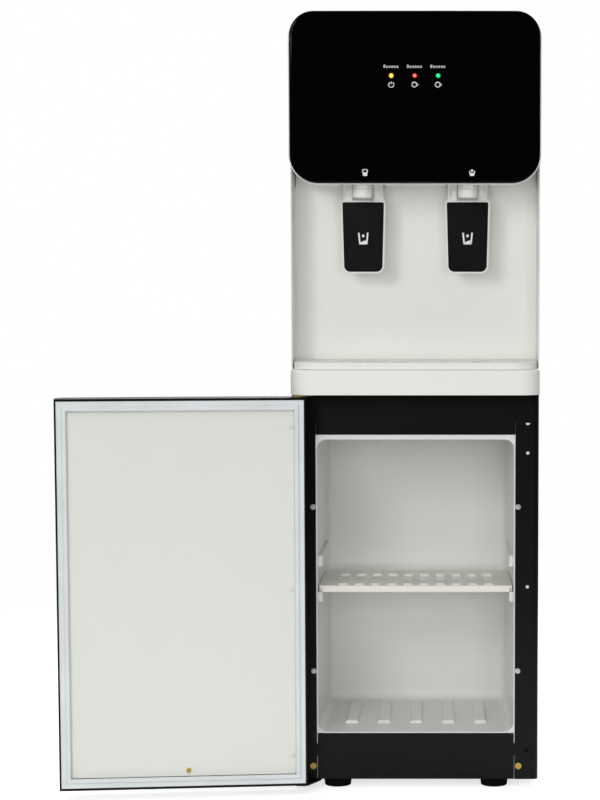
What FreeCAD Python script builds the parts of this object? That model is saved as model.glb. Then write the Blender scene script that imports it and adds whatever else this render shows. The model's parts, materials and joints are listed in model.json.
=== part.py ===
import FreeCAD, Part
import math
import os
from FreeCAD import Vector

# Free-standing water dispenser: a heated tap and an ambient tap over a storage cabinet with a
# gasketed door and one shelf. Water comes from an inverted bottle that sits on the top.
# All sizes are millimetres. The origin is on the floor under the middle of the steel cabinet,
# +Z is up, the front looks along -Y and +X is the right-hand side seen from the front.

# ---- overall sizes -------------------------------------------------------------------------
width = 310.0            # over the steel side panels
depth = 300.0            # steel body, front frame to rear flange
foot_height = 11.5
cabinet_height = 489.2   # steel cabinet, from its underside to the top of its deck
ledge_height = 31.0
alcove_height = 227.5    # between the ledge and the head
head_height = 210.0
reach = 40.0             # head and ledge stand this far out from the steel front
alcove_depth = 105.0     # from the ledge's front back to the mid panel

# ---- walls, gaps and fits ------------------------------------------------------------------
sheet = 1.0              # folded steel
upper_wall = 1.5         # upper side panels
panel_edge = 0.8         # upright edges of the alcove's panel
abs_wall = 2.5           # moulded covers
liner_wall = 2.0
plate = 2.0              # hinge brackets and the tank bracket
gap = 0.3                # between pieces that only lie beside each other
slack = 0.2              # sheet inside sheet
running = 0.05           # radial clearance of pins, stems and hose ends

# ---- cabinet -------------------------------------------------------------------------------
panel_corner = 6.0       # outer radius of the side panels' folds
front_flange = 29.5
rear_flange = 14.0
opening_rise = 61.0      # bottom of the opening above the cabinet's underside
rail_height = 49.7       # top of the opening below the deck
backing_lap = 11.5       # strips of the rail and the kick plate behind the side flanges
kick_gap = 1.1           # open line beside the kick plate
hem = 15.0               # folded edges of the deck and the base pan
front_hem = 30.3         # taller front edge of the base pan, behind the kick plate
port_hole_inset = 14.0   # holes in the front flanges, from the cabinet's side
port_hole_radius = 2.2
port_hole_drop = 72.6    # upper hole below the deck
port_hole_off = 2.3      # middle hole above the cabinet's mid height
low_hole_rise = 37.8     # low hole above the underside
low_hole_radius = 3.0
top_hole_drop = 35.0     # uppermost hole below the deck
top_hole_radius = 2.8
liner_screw_out = 3.6    # liner screws beside the opening
liner_screw_low = 78.5   # above the bottom of the opening
liner_screw_high = 91.0  # below the top of the opening
kick_screw_out = 4.8
kick_screw_rise = 17.0   # above the underside

# ---- liner and shelf -----------------------------------------------------------------------
liner_depth = 220.0
liner_draft = 3.8        # each side wall leans in by this much over its depth
liner_ceiling_drop = 2.0
liner_corner = 12.0
liner_lip = 23.0         # flange behind the steel front, at the sides
liner_lap = 15.0         # the same above and below the opening
lip_top = 6.0            # liner seen inside the opening's upper edge
lip_side = 1.5           # and inside its side edges
rib_pitch = 41.5
rib_count = 5
rib_width = 15.5
rib_height = 4.0
rib_front = 56.0         # from the steel front to the ribs
rib_length = 134.0
runner_proud = 5.6
runner_length = 165.0
runner_inset = 14.0
runner_rises = ((165.0, 177.5), (210.0, 224.0))   # above the bottom of the opening
shelf_thick = 3.0
shelf_lip = 8.0
shelf_inset = 12.0       # from the steel front to the shelf's front edge
shelf_depth = 148.0
shelf_side_gap = 0.9
shelf_pitch = 20.6
shelf_slot = 12.4
shelf_margin = 14.0      # from the outer slots to the shelf's side
shelf_rows = ((54.0, 109.0), (3.2, 20.0))         # from the shelf's front edge

# ---- door ----------------------------------------------------------------------------------
door_side_gap = 1.0
door_thick = 38.0
door_gap = 3.0           # between the door and the steel front
door_rise = 1.0          # above the cabinet's underside
door_top_gap = 0.7       # under the upper hinge bracket
door_corner = 18.0
door_bow = 3.0
door_lip = 2.8
door_recess = 5.0        # inner panel behind the door's rear edge
door_band = 3.0          # gasket's seat behind the door's rear edge
door_panel_wall = 2.0
gasket_width = 12.3
gasket_base = 0.7        # low outer part of the gasket in front of the door's rear edge
gasket_bulb = 6.0
pin_from_edge = 8.5
pin_radius = 3.0
pin_length = 10.0
bush_radius = 5.5
bush_length = 16.0
door_open = 174.0        # degrees, as it stands at rest
grip_radius = 9.0
grip_length = 110.0
door_screw_inset = 19.0  # from the hinge edge
door_screw_top = 36.5    # below the door's top
door_screw_off = 4.25    # above the door's mid height
door_screw_low = 38.0    # above the door's bottom
middle_screw = (-5.5, 21.8)   # across from the middle, and above the bottom
bush_floor = 3.0         # closed end that the pin's tip sits against

# ---- head, alcove and ledge ----------------------------------------------------------------
fascia_margin = 1.5      # housing seen round the fascia
rim_depth = 3.0          # housing's rim in front of its face, round the fascia
rim_drop = 36.0          # rim's upper ends below the head's top
fascia_depth = 9.0
fascia_wall = 2.5
fascia_low_corner = 35.0
fascia_high_corner = 30.0
fascia_bow = 3.0
fascia_edge = 3.0
head_top_step = 2.0      # top cover lower than the fascia
shoulder = 30.0          # rounded long edges of the top cover
cover_height = 32.0
ledge_corner = 24.0
tray_corner = 32.0
tray_inset = 12.0        # tray's front behind the ledge's front
tray_rim = 9.0           # tray above the ledge
tray_side_gap = 3.0
tray_wall = 2.0
basin_margin = 12.0
pocket_gap = 1.5         # basin inside the ledge's pocket
basin_depth = 22.0
grille_thick = 2.5
grille_lap = 4.0         # grille's edge over the basin's edge
grille_edge = 5.0        # plain border round the slots
grille_pitch = 10.0
grille_slot = 4.5
cup_ring = 26.0          # plain ring round each drip target
target_rings = (9.0, 18.0)
target_slot = 2.5        # half the width of a round slot
target_spoke = 1.6       # half the width of the bars across the round slots
lamp_pitch = 28.6
lamp_drop = 78.5         # below the head's top
lamp_radius = 2.3
lamp_proud = 0.4
board_gap = 3.5          # control board behind the fascia's wall
board_half = 50.0
board_thick = 1.6

# ---- taps ----------------------------------------------------------------------------------
tap_spacing = 130.6
nozzle_radius = 12.3
nozzle_bore = 4.5
nozzle_drop = 16.0       # below the head
nozzle_back = 40.0       # from the fascia to the nozzle's axis
pivot_back = 22.0        # from the fascia to the lever's axis
pivot_rise = 14.0        # above the head's underside
block_half = 12.5
tab_half = 6.4           # front tab of the tap, seen under the head
tab_drop = 4.0
arm_gap = 1.0
arm_width = 11.0
pocket_width = 4.5       # tapered pocket in the front of each arm
pocket_wall = 2.4
pocket_sink = 4.0
pocket_length = 17.0
port_gap = 3.0           # opening in the housing beside the lever's arms
lever_top = 56.0
lever_low = 51.5
lever_length = 90.5
lever_thick = 5.0
lever_gap = 2.5          # blade's top under the nozzle's end
lever_back = 59.0        # from the fascia to the lever's front face
paddle_border = 1.8
paddle_sink = 1.2
paddle_thick = 1.8
stem_radius = 2.5
stem_lift = 5.0          # at the end of the lever's travel
plug_radius = 6.5
plug_height = 6.0
shank_radius = 8.0
fork_gap = 0.6           # stem's head above the lever's fork
stem_head_radius = 5.0
spring_radius = 4.0
spring_wire = 0.55
spring_turns = 5
spring_length = 18.4

# ---- water path ----------------------------------------------------------------------------
nipple_radius = 4.0
nipple_bore = 3.0
nipple_length = 15.0
hose_wall = 2.0
hose_forward = 49.0      # from the mid panel to where the hoses rise to the taps
reservoir_radius = 70.0
reservoir_height = 168.0
reservoir_wall = 2.5
seat_radius = 112.0
seat_hole = 103.3
neck_radius = 31.0       # bore that takes the bottle's neck
neck_depth = 25.0
seat_drop = 28.0         # depth of the cone under the bottle's shoulder
spike_radius = 13.5
spike_wall = 3.0
hot_tank_radius = 48.0
hot_tank_height = 120.0
hot_tank_wall = 1.5
hot_tank_x = -75.0
drain_run = 40.0         # from the hot tank to the back of the body
drain_nipple = 13.0
leg_height = 25.0
drain_rise = 14.0        # drain nipple above the hot tank's bottom
spout_radius = 8.0
spout_length = 17.0

# ---- feet, rear and fasteners --------------------------------------------------------------
foot_radius = 18.0
foot_edge = 1.5
foot_taper = 1.2         # narrower at the floor than at the top
stud_radius = 3.9
stud_length = 9.0
foot_x = 100.0
foot_front_inset = 23.0
foot_rear_inset = 30.0
screw_head = 3.5
screw_head_height = 2.0
sunk_head_radius = 4.1
screw_shank = 1.9
screw_length = 8.0
screw_hole = 2.0
vent_columns = 3
vent_length = 62.0
vent_gap = 14.0          # between the columns
vent_upper_rise = 255.0  # above the deck
vent_lower_rise = 60.0   # above the underside
vent_slot = 4.0
vent_pitch = 10.0
gland_radius = 11.0
gland_rise = 32.0        # above the deck
cord_hole = 3.6
gland_length = 18.0
switch_inset = 55.0      # from the right-hand side
switch_rise = 96.0       # above the deck
switch_width = 26.0
switch_height = 21.0
rocker_tilt = 8.0        # degrees each way from the middle
rocker_pivot = 3.0       # pivot in front of the rear panel's outer face
recess_half = 0.6        # cross recess in the screw heads
recess_reach = 2.2
recess_depth = 0.7

# ---- worked out from the sizes above -------------------------------------------------------
half = width / 2
front_y = -depth / 2
back_y = depth / 2
nose_y = front_y - reach
alcove_y = nose_y + alcove_depth
body_low = foot_height
deck_top = body_low + cabinet_height
opening_low = body_low + opening_rise
opening_high = deck_top - rail_height
bracket_top = deck_top + plate
ledge_low = bracket_top + gap
ledge_top = ledge_low + ledge_height
head_low = ledge_top + alcove_height
head_top = head_low + head_height
cover_top = head_top - head_top_step
side_top = cover_top - cover_height
opening_half = half - front_flange
panel_in = half - sheet
rear_in = back_y - upper_wall      # inner face of the side panels' rear flanges
liner_front = front_y + sheet
runner_heights = [(opening_low + low, opening_low + high) for low, high in runner_rises]
shelf_y = front_y + shelf_inset
door_half = half - door_side_gap
door_y = front_y - door_gap        # rear edge of the closed door
door_front = door_y - door_thick
door_bottom = body_low + door_rise
door_top = deck_top - door_top_gap
hinge_x = -door_half + pin_from_edge
hinge_y = door_y - door_thick / 2
door_screws_at = [(-door_half + door_screw_inset, z) for z in
                  (door_top - door_screw_top, (door_bottom + door_top) / 2 + door_screw_off,
                   door_bottom + door_screw_low)]
door_screws_at.append((middle_screw[0], door_bottom + middle_screw[1]))
tray_top = ledge_top + tray_rim
tray_low = ledge_top - basin_depth
lamp_height = head_top - lamp_drop
board_front = nose_y + fascia_wall + board_gap
seat_y = (alcove_y + back_y) / 2
tap_x = tap_spacing / 2
nozzle_y = nose_y + nozzle_back
pivot_y = nose_y + pivot_back
pivot_z = head_low + pivot_rise
lever_y = nose_y + lever_back
tap_z = pivot_z + 2.0              # axis of the shank through the mid panel
seat_z = head_low + 4.0            # valve seat inside the tap
chamber_top = seat_z + plug_height + stem_lift + 7.0
block_top = chamber_top + 6.0
fork_top = block_top + 6.0
stem_head_low = fork_top + fork_gap
spring_low = stem_head_low + 3.0
spring_high = spring_low + spring_length
hose_radius = nipple_radius + hose_wall
hot_tank_low = deck_top + leg_height
hot_tank_high = hot_tank_low + hot_tank_height
hot_tank_y = back_y - drain_run - hot_tank_radius
reservoir_high = cover_top - seat_drop - neck_depth - 16.0
reservoir_low = reservoir_high - reservoir_height
bracket_low = reservoir_low - plate
hose_bend = (hot_tank_high + nipple_length + bracket_low) / 2 + 1.0
drain_z = hot_tank_low + drain_rise
rear_face = rear_in                # outer face of the rear panel
gland_z = deck_top + gland_rise
switch_x = half - switch_inset
switch_z = deck_top + switch_rise
rocker_y = rear_in - rocker_pivot

RIGHT, BACK, UP = Vector(1, 0, 0), Vector(0, 1, 0), Vector(0, 0, 1)


# ---- helpers -------------------------------------------------------------------------------
def box(x, y, z):
    """A block between the low and high value of each pair."""
    size = [high - low for low, high in (x, y, z)]
    return Part.makeBox(*size, Vector(x[0], y[0], z[0]))


def rod(x, y, z, radius, length, axis=UP):
    return Part.makeCylinder(radius, length, Vector(x, y, z), axis)


def joined(*shapes):
    whole = shapes[0].multiFuse(list(shapes[1:])) if len(shapes) > 1 else shapes[0]
    return whole.removeSplitter()


def less(shape, *tools):
    return shape.cut(Part.makeCompound(list(tools))) if tools else shape


def both_sides(shape):
    """The shape and its mirror image across the middle plane."""
    return [shape, shape.mirror(Vector(0, 0, 0), RIGHT)]


def runs_along(edge, axis):
    if not isinstance(edge.Curve, Part.Line):
        return False
    ends = [v.Point for v in edge.Vertexes]
    return abs(ends[1].sub(ends[0]).normalize().dot(axis)) > 0.999


def rounded(shape, radius, wanted):
    """Fillet every edge for which wanted(edge, middle point) is true."""
    edges = [e for e in shape.Edges if wanted(e, e.BoundBox.Center)]
    return shape.makeFillet(radius, edges)


def path(points, radii, closed=False):
    """Straight runs joined by tangent arcs, one radius for each point."""
    count = len(points)
    corners = []
    for i, (point, radius) in enumerate(zip(points, radii)):
        if radius <= 0 or (not closed and i in (0, count - 1)):
            corners.append((point, None, point))
            continue
        to_last = (points[i - 1] - point).normalize()
        to_next = (points[(i + 1) % count] - point).normalize()
        half_angle = to_last.getAngle(to_next) / 2
        inward = (to_last + to_next).normalize()
        back_off = radius / math.tan(half_angle)
        middle = point + inward * (radius / math.sin(half_angle) - radius)
        corners.append((point + to_last * back_off, middle, point + to_next * back_off))
    edges = []
    for i, (start, middle, end) in enumerate(corners):
        if middle is not None:
            edges.append(Part.Arc(start, middle, end).toShape())
        if closed or i < count - 1:
            following = corners[(i + 1) % count][0]
            edges.append(Part.LineSegment(end, following).toShape())
    return Part.Wire(edges)


def slab(points, radii, thrust):
    """A flat outline with rounded corners, pushed out along a vector."""
    return Part.Face(path(points, radii, closed=True)).extrude(thrust)


def plan_slab(x_half, y_front, y_back, low, high, front_radius, back_radius=0.0):
    """A slab seen from above, with its own corner radius at the front and at the back."""
    points = [Vector(-x_half, y_front, low), Vector(x_half, y_front, low),
              Vector(x_half, y_back, low), Vector(-x_half, y_back, low)]
    radii = [front_radius, front_radius, back_radius, back_radius]
    return slab(points, radii, UP * (high - low))


def face_slab(x_half, low, high, low_radius, high_radius, y_front, y_back):
    """A slab seen from the front, with its own corner radius below and above."""
    points = [Vector(-x_half, y_front, low), Vector(x_half, y_front, low),
              Vector(x_half, y_front, high), Vector(-x_half, y_front, high)]
    radii = [low_radius, low_radius, high_radius, high_radius]
    return slab(points, radii, BACK * (y_back - y_front))


def bowed(shape, x_half, y_front, bow, low, high):
    """Keep what lies behind an upright face that bulges forward by bow at its middle."""
    radius = (x_half ** 2 + bow ** 2) / (2 * bow)
    return shape.common(rod(0, y_front + radius, low, radius, high - low))


def turned(points, y):
    """A solid of revolution about an upright axis from (radius, height) points."""
    outline = Part.makePolygon([Vector(r, y, h) for r, h in points + points[:1]])
    return Part.Face(outline).revolve(Vector(0, y, 0), UP, 360)


def save(name, *shapes):
    solids = [solid for shape in shapes for solid in shape.Solids]
    for solid in solids:
        if not solid.isValid():
            print("not valid:", name)
    whole = solids[0] if len(solids) == 1 else Part.makeCompound(solids)
    whole.exportStep(os.path.join("parts", name + ".step"))
    print(name, len(solids))


# ---- steel cabinet -------------------------------------------------------------------------
def liner_screw_places():
    x = opening_half + liner_screw_out
    heights = (opening_low + liner_screw_low, opening_high - liner_screw_high)
    return [(side * x, z) for side in (-1, 1) for z in heights]


def kick_screw_places():
    return [(side * (opening_half + kick_screw_out), body_low + kick_screw_rise)
            for side in (-1, 1)]


def rear_screw_places():
    x = half - rear_flange * 0.65
    rows = 5
    low, high = body_low + 20.0, side_top - 16.0
    heights = [low + (high - low) * i / (rows - 1) for i in range(rows)]
    return [(side * x, z) for side in (-1, 1) for z in heights]


def screw_holes(places, y, reach_back=12.0):
    return [rod(x, y - 1.0, z, screw_hole, reach_back, BACK) for x, z in places]


def sunk_head(x, z, extra=0.0):
    """The cone of a flush screw head in the steel front, or its hole."""
    return Part.makeCone(sunk_head_radius + extra, screw_shank + extra, sheet,
                         Vector(x, front_y, z), BACK)


def folded_side(outer_y, low, high, wall, front_width, radius):
    """A left side panel: one wall with a front fold and a rear fold."""
    skin = plan_slab(half, outer_y, back_y, low, high, radius, radius)
    inside = plan_slab(half - wall, outer_y + wall, back_y - wall, low - 1, high + 1,
                       radius - wall, radius - wall)
    shell = less(skin, inside)
    front = box((-half, -half + front_width), (outer_y, 0), (low, high))
    rear = box((-half, -half + rear_flange), (0, back_y), (low, high))
    return shell.common(joined(front, rear))


def side_panel():
    panel = folded_side(front_y, body_low, deck_top, sheet, front_flange, panel_corner)
    x = -half + port_hole_inset
    ports = ((deck_top - top_hole_drop, top_hole_radius),
             (deck_top - port_hole_drop, port_hole_radius),
             ((body_low + deck_top) / 2 + port_hole_off, port_hole_radius),
             (body_low + low_hole_rise, low_hole_radius))
    holes = [rod(x, front_y - 1, z, radius, sheet + 2, BACK) for z, radius in ports]
    screws = screw_holes(liner_screw_places() + kick_screw_places(), front_y, 4.0)
    sunk = [sunk_head(kx, kz, running) for kx, kz in kick_screw_places()]
    rear = screw_holes(rear_screw_places(), back_y - 3.0, 6.0)
    return less(panel, *holes, *screws, *sunk, *rear)


def upper_side():
    """Reaches forward beside the alcove and the head, above the ledge."""
    wing_low = ledge_top + gap
    behind = folded_side(alcove_y, deck_top + slack, wing_low, upper_wall, upper_wall, 2.0)
    beside = folded_side(front_y, wing_low, side_top, upper_wall, upper_wall, 2.0)
    edge_x = half - upper_wall
    beside = rounded(beside, upper_wall * 0.45,
                     lambda e, c: runs_along(e, UP) and abs(c.x + edge_x) < 0.05
                     and c.y < front_y + upper_wall)
    return less(joined(behind, beside), *screw_holes(rear_screw_places(), back_y - 4.0, 8.0))


def base_pan():
    x = panel_in - slack
    y = (front_y + 2 * sheet, rear_in - sheet - slack)
    corner = panel_corner
    rim = plan_slab(x, *y, body_low, body_low + hem, corner, corner)
    inner = plan_slab(x - sheet, y[0] + sheet, y[1] - sheet, body_low + sheet,
                      body_low + hem + 1, corner - sheet, corner - sheet)
    x_front = x - corner
    front = box((-x_front, x_front), (y[0], y[0] + sheet), (body_low, body_low + front_hem))
    studs = [rod(fx, fy, body_low - 1, stud_radius + slack, 4.0) for fx, fy in foot_places()]
    screws = [rod(fx, fy, body_low - 1, screw_hole, 4.0) for fx, fy in bracket_screw_places()]
    screws += screw_holes(kick_screw_places(), y[0])
    return less(joined(less(rim, inner), front), *studs, *screws)


def foot_places():
    ys = (front_y + foot_front_inset, back_y - foot_rear_inset)
    return [(side * foot_x, y) for side in (-1, 1) for y in ys]


def feet():
    pads = []
    for x, y in foot_places():
        pad = Part.makeCone(foot_radius - foot_taper, foot_radius, foot_height, Vector(x, y, 0))
        pad = rounded(pad, foot_edge, lambda e, c: e.Closed and c.z < 1)
        stud = rod(x, y, foot_height - 1, stud_radius, stud_length)
        pads.append(joined(pad, stud))
    return pads


def top_rail():
    face = box((-opening_half + slack, opening_half - slack), (front_y, front_y + sheet),
               (opening_high, deck_top))
    low = opening_high + liner_lap
    strip_half = opening_half + backing_lap
    strip = box((-strip_half, strip_half), (front_y + sheet, front_y + 2 * sheet), (low, deck_top))
    return joined(face, strip)


def deck_plate():
    x = panel_in - slack
    y = (front_y + 2 * sheet, rear_in - sheet - slack)
    corner = panel_corner
    form = plan_slab(x, *y, deck_top - hem, deck_top, corner, corner)
    under = plan_slab(x - sheet, y[0] + sheet, y[1] - sheet, deck_top - hem - 1,
                      deck_top - sheet, corner - sheet, corner - sheet)
    screws = [rod(sx, sy, deck_top - 3, screw_hole, 5.0) for sx, sy in bracket_screw_places()]
    return less(form, under, *screws)


def kick_plate():
    x = opening_half - kick_gap
    low = body_low + gap
    face = box((-x, x), (front_y, front_y + sheet), (low, opening_low - 1.5))
    strip_half = opening_half + backing_lap
    strip_top = opening_low - liner_lap
    strip = box((-strip_half, strip_half), (front_y + sheet, front_y + 2 * sheet),
                (low, strip_top))
    window = box((opening_half - 2 * kick_gap, opening_half + 1), (front_y, front_y + 3 * sheet),
                 (low, body_low + front_hem))
    screws = screw_holes(kick_screw_places(), front_y, 4.0)
    return less(joined(face, strip), *both_sides(window.common(strip)), *screws)


def rear_panel():
    x = panel_in - panel_corner
    low, high = body_low + sheet, side_top
    skin = box((-x, x), (rear_in - sheet, rear_in), (low, high))
    cuts = []
    first = -(vent_columns - 1) / 2
    for base, rows in ((deck_top + vent_upper_rise, 12), (body_low + vent_lower_rise, 6)):
        for row in range(rows):
            for column in range(vent_columns):
                middle = (first + column) * (vent_length + vent_gap)
                z = base + row * vent_pitch
                cuts.append(box((middle - vent_length / 2, middle + vent_length / 2),
                                (rear_in - 2, rear_in + 1), (z, z + vent_slot)))
    cuts += screw_holes(rear_screw_places(), rear_in - 3.0, 6.0)
    cuts.append(rod(hot_tank_x, rear_in - 3, drain_z, spout_radius + gap, 6, BACK))
    cuts.append(rod(switch_x, rear_in - 3, gland_z, gland_radius - 2.0 + gap, 6, BACK))
    cuts.append(box((switch_x - switch_width / 2 - gap, switch_x + switch_width / 2 + gap),
                    (rear_in - 3, rear_in + 1),
                    (switch_z - switch_height / 2 - gap, switch_z + switch_height / 2 + gap)))
    return less(skin, *cuts)


def cross_recess(x, y, z):
    """Two crossed slots, sunk into a head whose face is at y."""
    depths = (y - recess_depth, y + recess_depth)
    return [box((x - recess_half, x + recess_half), depths, (z - recess_reach, z + recess_reach)),
            box((x - recess_reach, x + recess_reach), depths, (z - recess_half, z + recess_half))]


def pan_screw(x, y, z, outward):
    """A screw with its head's underside at y; outward is the side its head is on."""
    head = rod(x, y, z, screw_head, screw_head_height, BACK * outward)
    head = rounded(head, 1.2, lambda e, c: e.Closed and abs(c.y - y) > 1)
    shank = rod(x, y + outward, z, screw_shank, screw_length + 1, BACK * -outward)
    return less(joined(head, shank), *cross_recess(x, y + outward * screw_head_height, z))


def sunk_screw(x, z):
    """A screw whose head lies flush in the steel front."""
    shank = rod(x, front_y + sheet - 0.5, z, screw_shank, screw_length, BACK)
    return less(joined(sunk_head(x, z), shank), *cross_recess(x, front_y, z))


def pan_screws():
    liner = [pan_screw(x, front_y, z, -1) for x, z in liner_screw_places()]
    rear = [pan_screw(x, back_y, z, 1) for x, z in rear_screw_places()]
    return liner + rear


def bracket_screw_places():
    return [(hinge_x + dx, front_y + dy) for dx, dy in ((2.0, 16.0), (14.0, 24.0))]


def brass_screws():
    kick = [sunk_screw(x, z) for x, z in kick_screw_places()]
    plates = []
    for x, y in bracket_screw_places():
        head = rod(x, y, bracket_top, screw_head, 1.6)
        plates.append(joined(head, rod(x, y, bracket_top - 6.0, screw_shank, 7.0)))
        low = body_low - plate
        head = rod(x, y, low - 1.6, screw_head, 1.6)
        plates.append(joined(head, rod(x, y, low - 1.0, screw_shank, 7.0)))
    return kick + plates


def bracket_plan(low, inner_x):
    """Arm that carries a hinge pin in front of the cabinet, seen from above."""
    nose = pin_from_edge + 0.5
    tail = front_y + 30.0
    left = max(hinge_x - nose + 3.0, -half + 2.0)
    front = hinge_y - nose
    points = [Vector(hinge_x - nose + 3.0, front, low), Vector(hinge_x + nose, front, low),
              Vector(inner_x, front_y + 2.0, low), Vector(inner_x, tail, low),
              Vector(left, tail, low), Vector(left, hinge_y, low)]
    return slab(points, [5.0, 7.0, 5.0, 3.0, 3.0, 0.0], UP * plate)


def hinge_bracket_top():
    arm = bracket_plan(deck_top, hinge_x + 22.0)
    pin = rod(hinge_x, hinge_y, deck_top - pin_length, pin_radius, pin_length + 1)
    screws = [rod(x, y, deck_top - 1, screw_hole, 5.0) for x, y in bracket_screw_places()]
    return less(joined(arm, pin), *screws)


def hinge_bracket_bottom():
    low = body_low - plate
    arm = bracket_plan(low, hinge_x + 25.0)
    pin = rod(hinge_x, hinge_y, low + 1, pin_radius, pin_length + plate - 1)
    screws = [rod(x, y, low - 1, screw_hole, 5.0) for x, y in bracket_screw_places()]
    return less(joined(arm, pin), *screws)


# ---- liner and shelf -----------------------------------------------------------------------
def liner_half(y):
    """Half the inner width of the liner at a depth y."""
    return opening_half - lip_side - liner_draft * (y - liner_front) / liner_depth


def frustum(grow, y_front, corner):
    y_end = liner_front + liner_depth + grow
    rings = []
    for y, drop in ((y_front, 0.0), (y_end, liner_ceiling_drop)):
        x = liner_half(y) + grow
        low, high = opening_low - grow, opening_high - lip_top - drop + grow
        rings.append(Part.makePolygon([Vector(-x, y, low), Vector(x, y, low), Vector(x, y, high),
                                       Vector(-x, y, high), Vector(-x, y, low)]))
    form = Part.makeLoft(rings, True, True)
    return rounded(form, corner, lambda e, c: c.y > y_front + 1)


def cabinet_liner():
    outer = frustum(liner_wall, liner_front, liner_corner + liner_wall)
    void = frustum(0.0, liner_front - 1.0, liner_corner)
    x = opening_half + liner_lip
    flange = box((-x, x), (liner_front + sheet, liner_front + sheet + liner_wall),
                 (opening_low - liner_lap + slack, opening_high + liner_lap - slack))
    inner_lip = opening_half + liner_lip - 2.0
    raised = box((-inner_lip, inner_lip), (liner_front, liner_front + sheet + 1),
                 (opening_low - liner_lap + 1, opening_high + liner_lap - 1))
    bumps = []
    for index in range(rib_count):
        middle = (index - (rib_count - 1) / 2) * rib_pitch
        rib = box((middle - rib_width / 2, middle + rib_width / 2),
                  (front_y + rib_front, front_y + rib_front + rib_length),
                  (opening_low - 1, opening_low + rib_height))
        bumps.append(rounded(rib, 3.0, lambda e, c: c.z > opening_low + rib_height - 0.1))
    start = front_y + runner_inset
    for low, high in runner_heights:
        inner = liner_half(start) - runner_proud
        bar = box((inner, opening_half + 1), (start, start + runner_length), (low, high))
        bar = rounded(bar, 3.0, lambda e, c: c.x < inner + 0.1 and not runs_along(e, BACK))
        bumps += both_sides(bar.common(outer))
    shell = less(joined(outer, flange, raised), void)
    screws = screw_holes(liner_screw_places(), liner_front)
    return less(joined(shell, *bumps), *screws)


def shelf():
    low = runner_heights[0][1] + gap
    high = low + shelf_lip
    y = (shelf_y, shelf_y + shelf_depth)
    front = liner_half(y[0]) - shelf_side_gap
    back = liner_half(y[1]) - shelf_side_gap
    points = [Vector(-front, y[0], high - shelf_thick), Vector(front, y[0], high - shelf_thick),
              Vector(back, y[1], high - shelf_thick), Vector(-back, y[1], high - shelf_thick)]
    top = slab(points, [4.0, 4.0, 6.0, 6.0], UP * shelf_thick)
    lip = box((-front + 4, front - 4), (y[0], y[0] + shelf_thick), (low, high - 1))
    walls = []
    for side in (-1, 1):
        ends = [Vector(side * (x - shift), y_end, low) for x, y_end, shift in
                ((front, y[0] + 5, 0.6), (front, y[0] + 5, shelf_thick),
                 (back, y[1] - 7, shelf_thick), (back, y[1] - 7, 0.6))]
        walls.append(slab(ends, [0.0] * 4, UP * (shelf_lip - 1)))
    rear = box((-back + 8, back - 8), (y[1] - shelf_thick, y[1]), (low, high - 1))
    slots = []
    columns = int(2 * (back - shelf_margin - shelf_slot / 2) / shelf_pitch) + 1
    for column in range(columns):
        middle = (column - (columns - 1) / 2) * shelf_pitch
        for start, end in shelf_rows:
            slot = plan_slab(shelf_slot / 2, y[0] + start, y[0] + end, low, high + 1, 2.0, 2.0)
            slots.append(slot.translated(Vector(middle, 0, 0)))
    return less(joined(top, lip, rear, *walls), *slots)


# ---- door, built closed and then swung open ------------------------------------------------
def swung(shape):
    return shape.rotated(Vector(hinge_x, hinge_y, 0), UP, -door_open)


def door_form(inset, low, high, y_rear):
    form = plan_slab(door_half - inset, door_front + inset, y_rear, low, high,
                     door_corner - inset)
    return bowed(form, door_half, door_front + inset, door_bow, low - 1, high + 1)


def finger_groove(radius, length):
    middle = (door_bottom + door_top) / 2
    return rod(door_half, hinge_y, middle - length / 2, radius, length)


def bush_places():
    return [(door_top + door_top_gap - slack - bush_length, -1), (door_bottom - 1.0 + slack, 1)]


def door_shell():
    skin = door_form(0.0, door_bottom, door_top, door_y)
    skin = less(skin, finger_groove(grip_radius, grip_length))
    cavity = door_form(sheet, door_bottom + sheet, door_top - sheet, door_y - sheet)
    cavity = less(cavity, finger_groove(grip_radius + sheet, grip_length + 2 * sheet))
    mouth = box((-door_half + door_lip, door_half - door_lip), (door_y - 2 * sheet, door_y + 1),
                (door_bottom + door_lip, door_top - door_lip))
    holes = [rod(hinge_x, hinge_y, z - 4, bush_radius + running, bush_length + 8)
             for z, _ in bush_places()]
    return less(skin, cavity, mouth, *holes)


def door_panel():
    x = door_half - sheet - gap
    low, high = door_bottom + sheet + gap, door_top - sheet - gap
    rear = door_y - door_recess - door_panel_wall
    form = box((-x, x), (rear, door_y - door_band), (low, high))
    edge = door_lip + gasket_width + gap
    dish = box((-door_half + edge, door_half - edge), (door_y - door_recess, door_y),
               (door_bottom + edge, door_top - edge))
    dish = rounded(dish, 5.0, lambda e, c: runs_along(e, BACK))
    screws = [rod(x, rear - 1, z, screw_hole, 10, BACK) for x, z in door_screws_at]
    clear = finger_groove(grip_radius + 2 * sheet, grip_length + 4 * sheet)
    return less(form, dish, clear, *screws)


def door_gasket():
    """A ring with a low outer part and a raised bulb that meets the steel front."""
    def ring(outer, inner, y_low, y_high):
        frame = box((-door_half + outer, door_half - outer), (y_low, y_high),
                    (door_bottom + outer, door_top - outer))
        hole = box((-door_half + inner, door_half - inner), (y_low - 1, y_high + 1),
                   (door_bottom + inner, door_top - inner))
        return less(frame, hole)
    start = door_lip + 0.2
    end = door_lip + gasket_width
    base = ring(start, end, door_y - door_band, door_y + gasket_base)
    bulb = ring(end - gasket_bulb, end, door_y, front_y - gap)
    return joined(base, bulb)


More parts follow.
